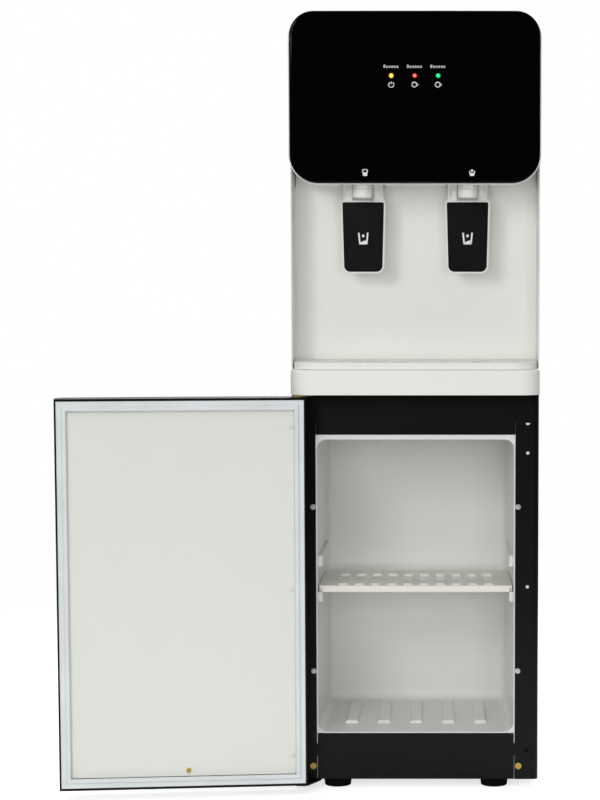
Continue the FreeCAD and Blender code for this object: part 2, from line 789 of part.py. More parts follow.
def door_foam():
    rear = door_y - door_recess - door_panel_wall
    inset = sheet + gap
    form = door_form(inset, door_bottom + inset, door_top - inset, rear)
    groove = finger_groove(grip_radius + inset + 1.0, grip_length + 2 * inset + 2.0)
    pockets = [rod(hinge_x, hinge_y, z - 2, bush_radius + gap, bush_length + 4)
               for z, _ in bush_places()]
    screws = [rod(x, rear + 1, z, screw_hole, 10, BACK * -1) for x, z in door_screws_at]
    return less(form, groove, *pockets, *screws)


def door_screws():
    face = door_y - door_recess
    return [pan_screw(x, face, z, 1) for x, z in door_screws_at]


def door_bushes():
    bushes = []
    for z, end in bush_places():
        body = rod(hinge_x, hinge_y, z, bush_radius, bush_length)
        bore_low = z + bush_floor if end < 0 else z - 1
        bore = rod(hinge_x, hinge_y, bore_low, pin_radius + running, bush_length - bush_floor + 1)
        bushes.append(less(body, bore))
    return bushes


# ---- alcove, ledge and drip tray -----------------------------------------------------------
def mid_panel():
    x = half - upper_wall - slack
    low, high = deck_top + slack, side_top + cover_height / 2
    skin = plan_slab(x, alcove_y, alcove_y + 20.0, low, high, panel_edge)
    inside = plan_slab(x - abs_wall, alcove_y + abs_wall, alcove_y + 30.0, low - 1, high + 1, 1.0)
    shoulders = face_slab(half - abs_wall - gap, low, cover_top - abs_wall - gap, 0.0,
                          shoulder - abs_wall, alcove_y - 1, alcove_y + 40.0)
    holes = [rod(side * tap_x, alcove_y - 1, tap_z, shank_radius + gap, 6, BACK)
             for side in (-1, 1)]
    return less(skin, inside, *holes).common(shoulders)


def tray_plan(inset, low, high, corner=None):
    x = half - tray_side_gap - inset
    radius = (tray_corner if corner is None else corner) - inset
    return plan_slab(x, nose_y + tray_inset + inset, alcove_y - gap - inset, low, high, radius,
                     2.0)


def lower_moulding():
    """White ledge that stands on the deck and carries the drip tray."""
    skin = plan_slab(half, nose_y, alcove_y, ledge_low, ledge_top, ledge_corner)
    skin = rounded(skin, 2.0, lambda e, c: c.z > ledge_top - 0.1 and c.y < alcove_y - 1)
    inside = plan_slab(half - abs_wall, nose_y + abs_wall, alcove_y - abs_wall, ledge_low - 1,
                       ledge_top - abs_wall, ledge_corner - abs_wall)
    pocket = basin_margin - pocket_gap
    mouth = tray_plan(pocket, ledge_top - 10, ledge_top + 1)
    skirt = box((-half + abs_wall, half - abs_wall), (front_y + 4.0, front_y + 4.0 + abs_wall),
                (deck_top, ledge_top - abs_wall))
    rear = box((-half + abs_wall, half - abs_wall), (alcove_y - abs_wall, alcove_y),
               (deck_top, ledge_low + 1))
    pocket_low = tray_low - 2.0
    basin = tray_plan(pocket, pocket_low, ledge_top)
    well = tray_plan(pocket - abs_wall, pocket_low - abs_wall, ledge_top - abs_wall)
    notch = box((-half - 1, hinge_x + 34.0), (front_y - 2.0, front_y + 36.0),
                (deck_top - 1, ledge_low + 1.7))
    shell = joined(less(skin, inside), less(well, basin), skirt, rear)
    return less(shell, mouth, basin, notch)


def drip_tray():
    rim = tray_plan(0.0, ledge_top + slack, tray_top)
    rim = rounded(rim, 1.5, lambda e, c: c.z > tray_top - 0.1 and c.y < alcove_y - 3)
    basin = tray_plan(basin_margin, tray_low, ledge_top + 1)
    hollow = tray_plan(basin_margin + tray_wall, tray_low + tray_wall, ledge_top + 4)
    rebate = tray_plan(basin_margin - grille_lap, tray_top - grille_thick - slack, tray_top + 1)
    ledge_step = tray_plan(basin_margin + tray_wall, ledge_top, tray_top + 1)
    return less(joined(rim, basin), hollow, rebate, ledge_step)


def grille_slots(low, high, middle, reach_out):
    """Straight slots in rows that stop at the plain ring round each drip target."""
    deep = alcove_y - (nose_y + tray_inset) - 2 * (basin_margin - grille_lap + gap)
    rows = int((deep - 2 * grille_edge - grille_slot) / grille_pitch) + 1
    ring = cup_ring + 3.0
    spans = ((-reach_out, -tap_x - ring), (-tap_x + ring, -3.0), (3.0, tap_x - ring),
             (tap_x + ring, reach_out))
    slots = []
    for row in range(rows):
        y = middle + (row - (rows - 1) / 2) * grille_pitch
        slots += [box(span, (y - grille_slot / 2, y + grille_slot / 2), (low, high))
                  for span in spans]
    return slots


def drip_target(x, y, low, high):
    """Two broken round slots under a tap."""
    spokes = [box((x - 40, x + 40), (y - target_spoke, y + target_spoke), (low - 1, high + 1)),
              box((x - target_spoke, x + target_spoke), (y - 40, y + 40), (low - 1, high + 1))]
    rings = []
    for radius in target_rings:
        ring = less(rod(x, y, low, radius + target_slot, high - low),
                    rod(x, y, low - 1, radius - target_slot, high - low + 2))
        rings.append(less(ring, *spokes))
    return rings


def drip_grille():
    inset = basin_margin - grille_lap
    top = tray_top - 0.1
    plate_form = tray_plan(inset + gap, top - grille_thick, top)
    middle = (nose_y + tray_inset + alcove_y) / 2
    reach_out = min(half - tray_side_gap - inset - 14.0, tap_x + 66.0)
    low, high = top - grille_thick - 1, top + 1
    slots = grille_slots(low, high, middle, reach_out)
    for side in (-1, 1):
        slots += drip_target(side * tap_x, middle, low, high)
    return less(plate_form, *slots)


# ---- head ----------------------------------------------------------------------------------
def fascia_form(inset, y_front, y_back):
    x = half - fascia_margin - inset
    low = head_low + fascia_margin + inset
    return face_slab(x, low, head_top - inset, fascia_low_corner - inset,
                     fascia_high_corner - inset, y_front, y_back)


def head_panel():
    rear = nose_y + fascia_depth
    heights = (head_low - 1, head_top + 1)
    skin = bowed(fascia_form(0.0, nose_y, rear), half, nose_y, fascia_bow, *heights)
    skin = rounded(skin, fascia_edge, lambda e, c: c.y < rear - 2.0 and not runs_along(e, BACK))
    inside = bowed(fascia_form(fascia_wall, nose_y, rear + 1), half, nose_y + fascia_wall,
                   fascia_bow, *heights)
    lamps = [rod(x, nose_y - 1, lamp_height, lamp_radius + running, 6, BACK)
             for x in lamp_places()]
    return less(skin, inside, *lamps)


def lamp_places():
    return [-lamp_pitch, 0.0, lamp_pitch]


def lamp(x):
    start = nose_y - lamp_proud
    lens = rod(x, start, lamp_height, lamp_radius, board_front - start, BACK)
    return rounded(lens, 0.35, lambda e, c: e.Closed and c.y < nose_y)


def control_board():
    heights = (lamp_height - 20, lamp_height + 14)
    board = box((-board_half, board_half), (board_front, board_front + board_thick), heights)
    start = board_front + board_thick / 2
    posts = [rod(x, start, z, 2.5, nose_y + fascia_depth - start, BACK)
             for x in (-board_half + 6, board_half - 6) for z in (heights[0] + 6, heights[1] - 6)]
    return joined(board, *posts)


def housing_form(inset, y_front, y_back):
    return face_slab(half - inset, head_low + inset, cover_top - inset,
                     fascia_low_corner + fascia_margin - inset,
                     shoulder - inset, y_front, y_back)


def housing_rim():
    """Thin rim round the sides and the bottom of the fascia."""
    rear = nose_y + fascia_depth
    front = rear - rim_depth
    rim = housing_form(0.0, front, rear)
    rim = rounded(rim, 0.5, lambda e, c: c.y < front + 0.05)
    above = box((-half - 1, half + 1), (front - 1, rear + 1), (head_top - rim_drop, head_top + 1))
    return less(rim, fascia_form(-gap, front - 1, rear + 1), above)


def head_housing():
    """Stepped in behind its front, where the upper side panels lie beside it."""
    front = nose_y + fascia_depth
    step, step_y = upper_wall + gap, front_y - gap
    out, room = [], []
    for wall, grown in ((0.0, out), (abs_wall, room)):
        corner = box((half - step - wall, half + 1), (step_y - wall, alcove_y + 2),
                     (head_low - 1, side_top + gap + wall))
        grown += both_sides(corner)
    skin = joined(less(housing_form(0.0, front, alcove_y), *out), housing_rim())
    inside = less(housing_form(abs_wall, front + abs_wall, alcove_y + 1), *room)
    x = block_half + arm_gap + arm_width + port_gap
    ports = [box((side * tap_x - x, side * tap_x + x), (front + 4.0, alcove_y + 1),
                 (head_low - 1, head_low + abs_wall + 1)) for side in (-1, 1)]
    return less(skin, inside, *ports)


# ---- taps: built about x = 0 and moved to their places -------------------------------------
def at_tap(shape, side):
    return shape.translated(Vector(side * tap_x, 0, 0))


def tap_body():
    low = head_low + 0.5
    nozzle_low = head_low - nozzle_drop
    block = box((-block_half, block_half), (pivot_y - 6.0, alcove_y - 3.0), (low, block_top))
    block = rounded(block, 3.0, lambda e, c: runs_along(e, BACK) or c.y < pivot_y - 5.9)
    beside_tab = box((tab_half, block_half + 1), (pivot_y - 7.0, nozzle_y - nozzle_radius + 1.0),
                     (low - 1, pivot_z - pin_radius - 2.0))
    block = less(block, *both_sides(beside_tab))
    tab = box((-tab_half, tab_half), (pivot_y - 4.0, nozzle_y - nozzle_radius + 3.0),
              (head_low - tab_drop, low + 2.0))
    tab = rounded(tab, 1.0, lambda e, c: c.z < head_low - tab_drop + 0.1 and c.y < pivot_y)
    nozzle = rod(0, nozzle_y, nozzle_low, nozzle_radius, nozzle_drop + 2)
    nozzle = rounded(nozzle, 2.5, lambda e, c: e.Closed and c.z < nozzle_low + 0.1)
    flange = rod(0, alcove_y - 3.0, tap_z, shank_radius + 5.0, 3.0, BACK)
    shank = rod(0, alcove_y - 4.0, tap_z, shank_radius, 19.0, BACK)
    nipple = rod(0, alcove_y + 14.0, tap_z, nipple_radius, nipple_length + 1, BACK)
    pin = rod(-block_half - arm_gap - arm_width, pivot_y, pivot_z, pin_radius,
              2 * (block_half + arm_gap + arm_width), RIGHT)
    post = box((-8, 8), (nozzle_y + 13.0, nozzle_y + 19.0), (block_top - 1, spring_high + plate))
    cap = box((-8, 8), (nozzle_y - 8.0, nozzle_y + 19.0), (spring_high, spring_high + plate))
    outlet = rod(0, nozzle_y, nozzle_low - 1, nozzle_bore, nozzle_drop + 6)
    chamber = rod(0, nozzle_y, seat_z, plug_radius + 0.5, chamber_top - seat_z)
    guide = rod(0, nozzle_y, block_top - 7, stem_radius + running, 10)
    inlet = rod(0, nozzle_y, tap_z, nipple_bore, alcove_y + 40 - nozzle_y, BACK)
    whole = joined(block, nozzle, tab, flange, shank, nipple, pin, post, cap)
    return less(whole, outlet, chamber, guide, inlet)


def lever_outline(inset, y, thickness):
    """Tapered blade seen from the front, cut back by inset all round."""
    top = head_low - nozzle_drop - lever_gap - inset
    low = head_low - nozzle_drop - lever_gap - lever_length + inset
    wide, narrow = lever_top / 2 - inset, lever_low / 2 - inset
    points = [Vector(-narrow, y, low), Vector(narrow, y, low),
              Vector(wide, y, top), Vector(-wide, y, top)]
    corner = 9.5 - inset
    return slab(points, [corner, corner, 2.0, 2.0], BACK * thickness)


def lever():
    blade = lever_outline(0.0, lever_y, lever_thick)
    recess = lever_outline(paddle_border, lever_y - 1, 1 + paddle_sink)
    inner = block_half + arm_gap
    outer = inner + arm_width
    back = lever_y + lever_thick
    low = head_low - nozzle_drop - 6.0
    profile = [(pivot_y - 6.0, pivot_z + 5.0), (pivot_y + 7.0, pivot_z + 5.0),
               (back, head_low - 2.0), (back, low), (lever_y, low),
               (lever_y, head_low - nozzle_drop + 8.0), (pivot_y - 6.0, pivot_z - 5.0)]
    points = [Vector(inner, y, z) for y, z in profile]
    arm = slab(points, [4.0, 3.0, 6.0, 0.0, 0.0, 8.0, 4.0], RIGHT * arm_width)
    wall_x = outer - pocket_wall
    tip = Vector(wall_x, pivot_y - 10.0, head_low - pocket_length)
    wedge = slab([tip, Vector(wall_x, tip.y, head_low + 4.0),
                  Vector(wall_x - pocket_width, tip.y, head_low + 4.0)], [0.0] * 3, BACK * 80.0)
    pocket = less(wedge.common(arm), arm.translated(BACK * pocket_sink))
    upright = box((inner, outer), (pivot_y + 1.0, pivot_y + 12.0), (pivot_z, fork_top))
    bridge = box((-outer, outer), (pivot_y + 6.0, pivot_y + 12.0), (fork_top - 4.0, fork_top))
    tine = box((stem_radius + 0.9, 9.5), (pivot_y + 11.0, pivot_y + 26.0),
               (fork_top - 4.0, fork_top))
    bore = rod(-outer - 1, pivot_y, pivot_z, pin_radius + running, 2 * outer + 2, RIGHT)
    whole = joined(blade, bridge, *both_sides(arm), *both_sides(upright), *both_sides(tine))
    return less(whole, recess, bore, *both_sides(pocket))


def paddle():
    form = lever_outline(paddle_border + slack, lever_y + paddle_sink - paddle_thick, paddle_thick)
    return rounded(form, 0.5, lambda e, c: c.y < lever_y + paddle_sink - paddle_thick + 0.05)


def stem():
    low = seat_z + gap
    plug = rod(0, nozzle_y, low, plug_radius, plug_height)
    shaft = rod(0, nozzle_y, low + 5, stem_radius, stem_head_low - low - 4)
    head = rod(0, nozzle_y, stem_head_low, stem_head_radius, 3.0)
    stub = rod(0, nozzle_y, stem_head_low + 2, 1.8, 7.5)
    return joined(plug, shaft, head, stub)


def valve_spring():
    turns_height = spring_length - 2 * spring_wire - 0.1
    pitch = turns_height / spring_turns
    coil = Part.makeHelix(pitch, turns_height, spring_radius)
    ring = Part.Wire([Part.makeCircle(spring_wire, Vector(spring_radius, 0, 0), BACK)])
    wire = Part.Wire(coil.Edges).makePipeShell([ring], True, True)
    return wire.translated(Vector(0, nozzle_y, spring_low + spring_wire + 0.05))


# ---- top, bottle seat and tanks ------------------------------------------------------------
def top_cover():
    skin = face_slab(half, side_top, cover_top, 0.0, shoulder, alcove_y, back_y)
    skin = rounded(skin, 8.0, lambda e, c: c.y > back_y - 0.1 and c.z > cover_top - 0.1)
    inside = face_slab(half - abs_wall, side_top - 1, cover_top - abs_wall, 0.0,
                       shoulder - abs_wall, alcove_y - 1, back_y - abs_wall)
    front_rib = box((-half + shoulder, half - shoulder), (alcove_y, alcove_y + abs_wall),
                    (cover_top - 12.0, cover_top - 1.0))
    rear_part = box((-half, half), (back_y - 40.0, back_y), (0, head_top))
    rear_room = rounded(inside.common(rear_part), 8.0 - abs_wall,
                        lambda e, c: c.y > back_y - abs_wall - 0.1 and c.z > cover_top - 4.0)
    room = joined(inside.cut(rear_part), rear_room)
    hole = rod(0, seat_y, cover_top - 20, seat_hole, 30)
    tab = front_rib.cut(rod(0, seat_y, 0, seat_hole + 1.0, head_top))
    return less(joined(less(skin, room), tab), hole)


def bottle_seat():
    """Funnel under the bottle's shoulder with a collar round its neck."""
    top = cover_top + plate
    cone_low = top - seat_drop
    low = cone_low - 5.0 - neck_depth
    inner = [(neck_radius, low), (neck_radius, cone_low - 5.0), (neck_radius + 5.0, cone_low),
             (seat_hole + 0.7, top), (seat_radius, top)]
    rim = seat_hole - 0.7
    outer = [(seat_radius, cover_top), (rim, cover_top), (rim, cover_top - 1.3),
             (neck_radius + 6.0, cone_low - 2.6), (neck_radius + 3.0, cone_low - 5.6),
             (neck_radius + 3.0, low)]
    return turned(inner + outer, seat_y)


def water_spike():
    """Feed tube that opens the bottle's cap, moulded with the reservoir's lid."""
    lid = rod(0, seat_y, reservoir_high, reservoir_radius + 4.0, 3.0)
    collar = less(rod(0, seat_y, reservoir_high, neck_radius + 7.0, 17.0),
                  rod(0, seat_y, reservoir_high + 3, neck_radius + 4.0, 20.0))
    spigot = less(rod(0, seat_y, reservoir_high - 5, reservoir_radius - reservoir_wall - gap, 6),
                  rod(0, seat_y, reservoir_high - 6, reservoir_radius - reservoir_wall - 3, 6))
    tip = cover_top - 16.0
    tube = rod(0, seat_y, reservoir_high, spike_radius, tip - reservoir_high)
    tube = rounded(tube, 6.0, lambda e, c: e.Closed and c.z > tip - 1)
    bore = rod(0, seat_y, reservoir_high - 6, spike_radius - spike_wall, tip - reservoir_high + 1)
    ports = []
    for turn in range(3):
        window = box((0, spike_radius + 2), (seat_y - 3.5, seat_y + 3.5), (tip - 24, tip - 9))
        ports.append(window.rotated(Vector(0, seat_y, 0), UP, 120 * turn + 30))
    return less(joined(lid, collar, spigot, tube), bore, *ports)


def port_places():
    """Spigots under the reservoir: to the ambient tap and to the hot tank."""
    return [(40.0, seat_y - 12.0), (-30.0, seat_y + 28.0)]


def reservoir():
    body = rod(0, seat_y, reservoir_low, reservoir_radius, reservoir_height)
    body = rounded(body, 6.0, lambda e, c: e.Closed and c.z < reservoir_low + 0.1)
    room = rod(0, seat_y, reservoir_low + reservoir_wall, reservoir_radius - reservoir_wall,
               reservoir_height)
    room = rounded(room, 4.0, lambda e, c: e.Closed and c.z < reservoir_low + reservoir_wall + 0.1)
    flange = rod(0, seat_y, reservoir_high - 3, reservoir_radius + 4.0, 3)
    spigots = [rod(x, y, reservoir_low - nipple_length, nipple_radius, nipple_length + 2)
               for x, y in port_places()]
    bores = [rod(x, y, reservoir_low - nipple_length - 1, nipple_bore, nipple_length + 6)
             for x, y in port_places()]
    return less(joined(body, flange, *spigots), room, *bores)


def tank_bracket():
    x = half - upper_wall - slack
    shelf_form = box((-x, x), (seat_y - 52.0, seat_y + 58.0), (bracket_low, bracket_low + plate))
    flange = box((-x, -x + plate), (seat_y - 52.0, seat_y + 58.0),
                 (bracket_low - hem, bracket_low + 1))
    holes = [rod(x_port, y_port, bracket_low - 1, hose_radius + 2.0, plate + 2)
             for x_port, y_port in port_places()]
    return less(joined(shelf_form, *both_sides(flange)), *holes)


def hot_inlet():
    return hot_tank_x + 15.0, hot_tank_y + 8.0


def hot_outlet():
    return hot_tank_x - 10.0, hot_tank_y - 17.0


def hot_tank():
    body = rod(hot_tank_x, hot_tank_y, hot_tank_low, hot_tank_radius, hot_tank_height)
    body = rounded(body, 8.0, lambda e, c: e.Closed)
    wall = hot_tank_wall
    room = rod(hot_tank_x, hot_tank_y, hot_tank_low + wall, hot_tank_radius - wall,
               hot_tank_height - 2 * wall)
    room = rounded(room, 8.0 - wall, lambda e, c: e.Closed)
    tips = [rod(x, y, hot_tank_high - 3, nipple_radius, nipple_length + 3)
            for x, y in (hot_inlet(), hot_outlet())]
    bores = [rod(x, y, hot_tank_high - 6, nipple_bore, nipple_length + 8)
             for x, y in (hot_inlet(), hot_outlet())]
    drain_start = hot_tank_y + hot_tank_radius
    tips.append(rod(hot_tank_x, drain_start - 3, drain_z, nipple_radius, drain_nipple, BACK))
    bores.append(rod(hot_tank_x, drain_start - 6, drain_z, nipple_bore, 20.0, BACK))
    legs = []
    for turn in range(3):
        angle = math.radians(120 * turn + 90)
        legs.append(rod(hot_tank_x + 34 * math.cos(angle), hot_tank_y + 34 * math.sin(angle),
                        deck_top, 5.0, leg_height + 2))
    return less(joined(body, *tips, *legs), room, *bores)


def heater_band():
    low = hot_tank_low + 30.0
    band = less(rod(hot_tank_x, hot_tank_y, low, hot_tank_radius + running + 2.5, 34),
                rod(hot_tank_x, hot_tank_y, low - 1, hot_tank_radius + running, 36))
    clamp = box((hot_tank_x - 8, hot_tank_x + 8),
                (hot_tank_y - hot_tank_radius - 12, hot_tank_y - hot_tank_radius - 1),
                (low + 8, low + 26))
    return joined(band, clamp)


def thermostats():
    discs = []
    for rise in (80.0, 102.0):
        x, z = hot_tank_x + hot_tank_radius, hot_tank_low + rise
        disc = rod(x + running, hot_tank_y, z, 8.0, 6.0, RIGHT)
        blade = box((x + 5, x + 13), (hot_tank_y - 3, hot_tank_y + 3), (z - 1, z))
        discs.append(joined(disc, blade))
    return discs


def hose(name, points):
    """A soft tube on a route of straight runs and arcs as large as the runs allow."""
    radii = [0.0]
    for last, point, following in zip(points, points[1:], points[2:]):
        turn = math.pi - (last - point).getAngle(following - point)
        run = min((last - point).Length, (following - point).Length)
        radii.append(0.45 * run / math.tan(turn / 2))
    radii.append(0.0)
    print(name, "radii", [round(r, 1) for r in radii[1:-1]])
    route = path(points, radii)
    heading = (points[1] - points[0]).normalize()
    skins = []
    for radius in (hose_radius, nipple_radius + running):
        ring = Part.Wire([Part.makeCircle(radius, points[0], heading)])
        skins.append(route.makePipeShell([ring], True, True))
    return skins[0].cut(skins[1])


def hose_to_tap(name, start, side):
    """From an upright nipple, forward under the reservoir and up to a tap."""
    turn_y = alcove_y + hose_forward
    x = side * tap_x
    tap_end = Vector(x, alcove_y + 16.0, tap_z)
    points = [start, Vector(start.x, start.y, hose_bend),
              Vector(x - side * 3.0, turn_y, hose_bend + 2.0), Vector(x, turn_y, tap_z), tap_end]
    return hose(name, points)


def ambient_hose():
    x, y = port_places()[0]
    return hose_to_tap("ambient_hose", Vector(x, y, bracket_low - 1.0), 1)


def hot_hose():
    x, y = hot_outlet()
    return hose_to_tap("hot_hose", Vector(x, y, hot_tank_high + 3.0), -1)


def feed_hose():
    x, y = port_places()[1]
    end_x, end_y = hot_inlet()
    start, end = bracket_low - 1.0, hot_tank_high + 3.0
    points = [Vector(x, y, start), Vector(x, y, start - (start - end) * 0.38),
              Vector(end_x, end_y, end + (start - end) * 0.38), Vector(end_x, end_y, end)]
    return hose("feed_hose", points)


def drain_hose():
    start = hot_tank_y + hot_tank_radius + 3.0
    length = rear_in - 6.0 - start   # up to the outlet's inner flange
    return less(rod(hot_tank_x, start, drain_z, hose_radius, length, BACK),
                rod(hot_tank_x, start - 1, drain_z, nipple_radius + running, length + 2, BACK))


def drain_outlet():
    flange = rod(hot_tank_x, rear_face, drain_z, spout_radius + 6.0, 2.0, BACK)
    spout = rod(hot_tank_x, rear_in - 3.0, drain_z, spout_radius, spout_length + 3.0, BACK)
    nipple = rod(hot_tank_x, rear_in - 20.0, drain_z, nipple_radius, 18.0, BACK)
    bore = rod(hot_tank_x, rear_in - 21.0, drain_z, nipple_bore, 60.0, BACK)
    return less(joined(flange, spout, nipple), bore)


def drain_cap():
    start = rear_face + 4.0
    cap = rod(hot_tank_x, start, drain_z, spout_radius + 2.5, spout_length, BACK)
    cap = rounded(cap, 1.5, lambda e, c: e.Closed and c.y > start + 5)
    bore = rod(hot_tank_x, start - 1, drain_z, spout_radius + running,
               spout_length - 3.0 + gap, BACK)
    lip = less(rod(hot_tank_x, start, drain_z, spout_radius + 4.0, 2.5, BACK),
               rod(hot_tank_x, start - 1, drain_z, spout_radius + running, 5.0, BACK))
    return joined(less(cap, bore), lip)


# ---- electrical pieces ---------------------------------------------------------------------
def power_board():
    low = deck_top + 12.0
    x, y = half - 140.0, back_y - 110.0

    def part(start, size, tall):
        left, front = x + start[0], y + start[1]
        return box((left, left + size[0]), (front, front + size[1]), (low + 1, low + tall))

    board = box((x, x + 100), (y, y + 64), (low, low + board_thick))
    posts = [rod(x + dx, y + dy, deck_top, 3.0, 13.0) for dx in (6, 94) for dy in (6, 58)]
    coil = part((7, 12), (36, 40), 30)
    relays = [part((51 + 18 * i, 16), (14, 20), 17) for i in range(2)]
    blocks = part((49, 44), (40, 12), 13)
    return joined(board, *posts, coil, *relays, blocks)


def cord_inlet():
    """Strain relief bush for the mains lead."""
    flange = rod(switch_x, rear_face, gland_z, gland_radius, 2.5, BACK)
    barrel = rod(switch_x, rear_in - 6.0, gland_z, gland_radius - 2.0, 8.0, BACK)
    sleeve = Part.makeCone(gland_radius - 3.5, cord_hole + 1.8, gland_length,
                           Vector(switch_x, rear_face + 1.0, gland_z), BACK)
    bore = rod(switch_x, rear_in - 7.0, gland_z, cord_hole, gland_length + 20, BACK)
    return less(joined(flange, barrel, sleeve), bore)


def switch_bezel():
    z = switch_z
    wide, tall = switch_width / 2, switch_height / 2
    frame = box((switch_x - wide - 2, switch_x + wide + 2), (rear_face, rear_face + 1.8),
                (z - tall - 2, z + tall + 2))
    can = box((switch_x - wide, switch_x + wide), (rear_in - 16, rear_in + 1), (z - tall, z + tall))
    room = box((switch_x - wide + 2, switch_x + wide - 2), (rear_in - 11, rear_in + 3),
               (z - tall + 1.5, z + tall - 1.5))
    pins = rod(switch_x - wide + 0.8, rocker_y, z, 1.5 + running, 2 * wide - 1.6, RIGHT)
    tabs = [box((switch_x + dx - 2, switch_x + dx + 2), (rear_in - 24, rear_in - 15),
                (z - 0.4, z + 0.4)) for dx in (-7, 7)]
    return less(joined(frame, can, *tabs), room, pins)


def heating_rocker():
    """Rest has its upper end pressed in."""
    z = switch_z
    x = switch_width / 2 - 2.4
    tall = switch_height / 2 - 2.4
    profile = [(2.2, -tall), (0.9, 0.0), (2.2, tall), (-3.5, tall), (-7.5, 0.0), (-3.5, -tall)]
    points = [Vector(switch_x - x, rear_in + out, z + up) for out, up in profile]
    key = slab(points, [0.6, 6.0, 0.6, 1.0, 1.0, 1.0], RIGHT * (2 * x))
    pins = rod(switch_x - x - 1.0, rocker_y, z, 1.5, 2 * x + 2.0, RIGHT)
    return joined(key, pins).rotated(Vector(switch_x, rocker_y, z), RIGHT, -rocker_tilt)


# ---- write every piece ---------------------------------------------------------------------
def main():
    os.makedirs("parts", exist_ok=True)
    left = side_panel()
    save("side_panel_left", left)
    save("side_panel_right", both_sides(left)[1])
    left = upper_side()
    save("upper_side_left", left)
    save("upper_side_right", both_sides(left)[1])
    for make in (rear_panel, base_pan, top_rail, deck_plate, tank_bracket, kick_plate,
                 cabinet_liner, hinge_bracket_top, hinge_bracket_bottom, mid_panel,
                 lower_moulding, head_housing, head_panel, control_board, top_cover, bottle_seat,
                 water_spike, reservoir, hot_tank, heater_band, feed_hose, hot_hose, ambient_hose,
                 drain_hose, drain_outlet, power_board, cord_inlet, switch_bezel, drip_tray,
                 drip_grille, shelf, heating_rocker, drain_cap):
        save(make.__name__, make())
    for make in (feet, pan_screws, brass_screws, thermostats):
        save(make.__name__, *make())
    for x, colour in zip(lamp_places(), ("amber", "red", "green")):
        save("led_" + colour, lamp(x))
    for make in (door_shell, door_panel, door_gasket, door_foam):
        save(make.__name__, swung(make()))
    for make in (door_screws, door_bushes):
        save(make.__name__, *[swung(solid) for solid in make()])
    for side, name in ((-1, "hot"), (1, "ambient")):
        save("tap_" + name, at_tap(tap_body(), side))
        for piece, make in (("lever", lever), ("paddle", paddle), ("stem", stem),
                            ("spring", valve_spring)):
            save(name + "_" + piece, at_tap(make(), side))


main()
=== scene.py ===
"""Finishes, fine detail and studio for a free-standing water dispenser with a storage cabinet.

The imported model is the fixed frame: its pieces keep their places, and this script dresses them
and models the seals, feet, lamps, springs and printed signs in more detail. Pieces are drawn in
millimetres and cast in metres. The studio is in metres. +Z is up and the front looks along -Y.
"""

import json
import logging
import math
from dataclasses import dataclass
from enum import Enum

import bmesh
import bpy
from mathutils import Matrix, Vector
from mathutils.bvhtree import BVHTree

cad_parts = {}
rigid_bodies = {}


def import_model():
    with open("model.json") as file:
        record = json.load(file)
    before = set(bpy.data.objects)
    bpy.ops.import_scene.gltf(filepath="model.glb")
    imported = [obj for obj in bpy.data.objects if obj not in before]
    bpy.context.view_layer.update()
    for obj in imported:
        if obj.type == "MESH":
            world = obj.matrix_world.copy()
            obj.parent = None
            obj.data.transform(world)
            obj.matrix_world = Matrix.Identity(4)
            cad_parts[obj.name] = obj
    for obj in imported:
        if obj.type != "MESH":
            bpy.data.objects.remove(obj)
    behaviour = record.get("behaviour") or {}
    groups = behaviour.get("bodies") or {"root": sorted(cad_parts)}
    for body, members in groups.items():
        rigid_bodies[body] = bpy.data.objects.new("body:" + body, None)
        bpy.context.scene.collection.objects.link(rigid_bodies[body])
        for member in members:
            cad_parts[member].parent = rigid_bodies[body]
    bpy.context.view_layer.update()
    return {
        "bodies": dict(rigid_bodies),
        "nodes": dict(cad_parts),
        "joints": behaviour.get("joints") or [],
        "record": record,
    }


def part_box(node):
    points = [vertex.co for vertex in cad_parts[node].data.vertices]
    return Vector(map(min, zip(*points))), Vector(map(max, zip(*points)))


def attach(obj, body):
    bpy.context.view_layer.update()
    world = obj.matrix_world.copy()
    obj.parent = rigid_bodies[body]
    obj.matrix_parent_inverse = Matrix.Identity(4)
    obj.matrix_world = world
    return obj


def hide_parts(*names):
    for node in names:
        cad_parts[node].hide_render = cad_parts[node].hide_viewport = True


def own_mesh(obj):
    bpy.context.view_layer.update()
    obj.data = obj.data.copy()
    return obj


LOG = logging.getLogger("dispenser")
MM = 0.001
MERGE = 1e-7                     # points nearer than this, in metres, are one point
LENS_MIDDLE = "lens_middle"      # 1 at the middle of a lamp's lens and 0 at its edge
NOISE_LOW, NOISE_HIGH = 0.3, 0.7     # smooth noise seldom leaves this span
STROKE_OVERRUN = 0.3             # share of its width that a printed stroke runs on at each end
Colour = tuple[float, float, float]
Point2 = tuple[float, float]
Socket = bpy.types.NodeSocket


def shade(red: int, green: int, blue: int) -> Colour:
    """Turn a display colour into the linear colour that the shaders use.

    Args:
        red: Red from 0 to 255.
        green: Green from 0 to 255.
        blue: Blue from 0 to 255.

    Returns:
        The same colour as linear values from 0 to 1.
    """
    def linear(value: int) -> float:
        """Undo the display curve for one channel."""
        part = value / 255
        return part / 12.92 if part <= 0.04045 else ((part + 0.055) / 1.055) ** 2.4
    return linear(red), linear(green), linear(blue)


def tinted(colour: Colour, share: float, lift: float = 0.0) -> Colour:
    """A linear colour times a share, with a lift added."""
    return tuple(part * share + lift for part in colour)


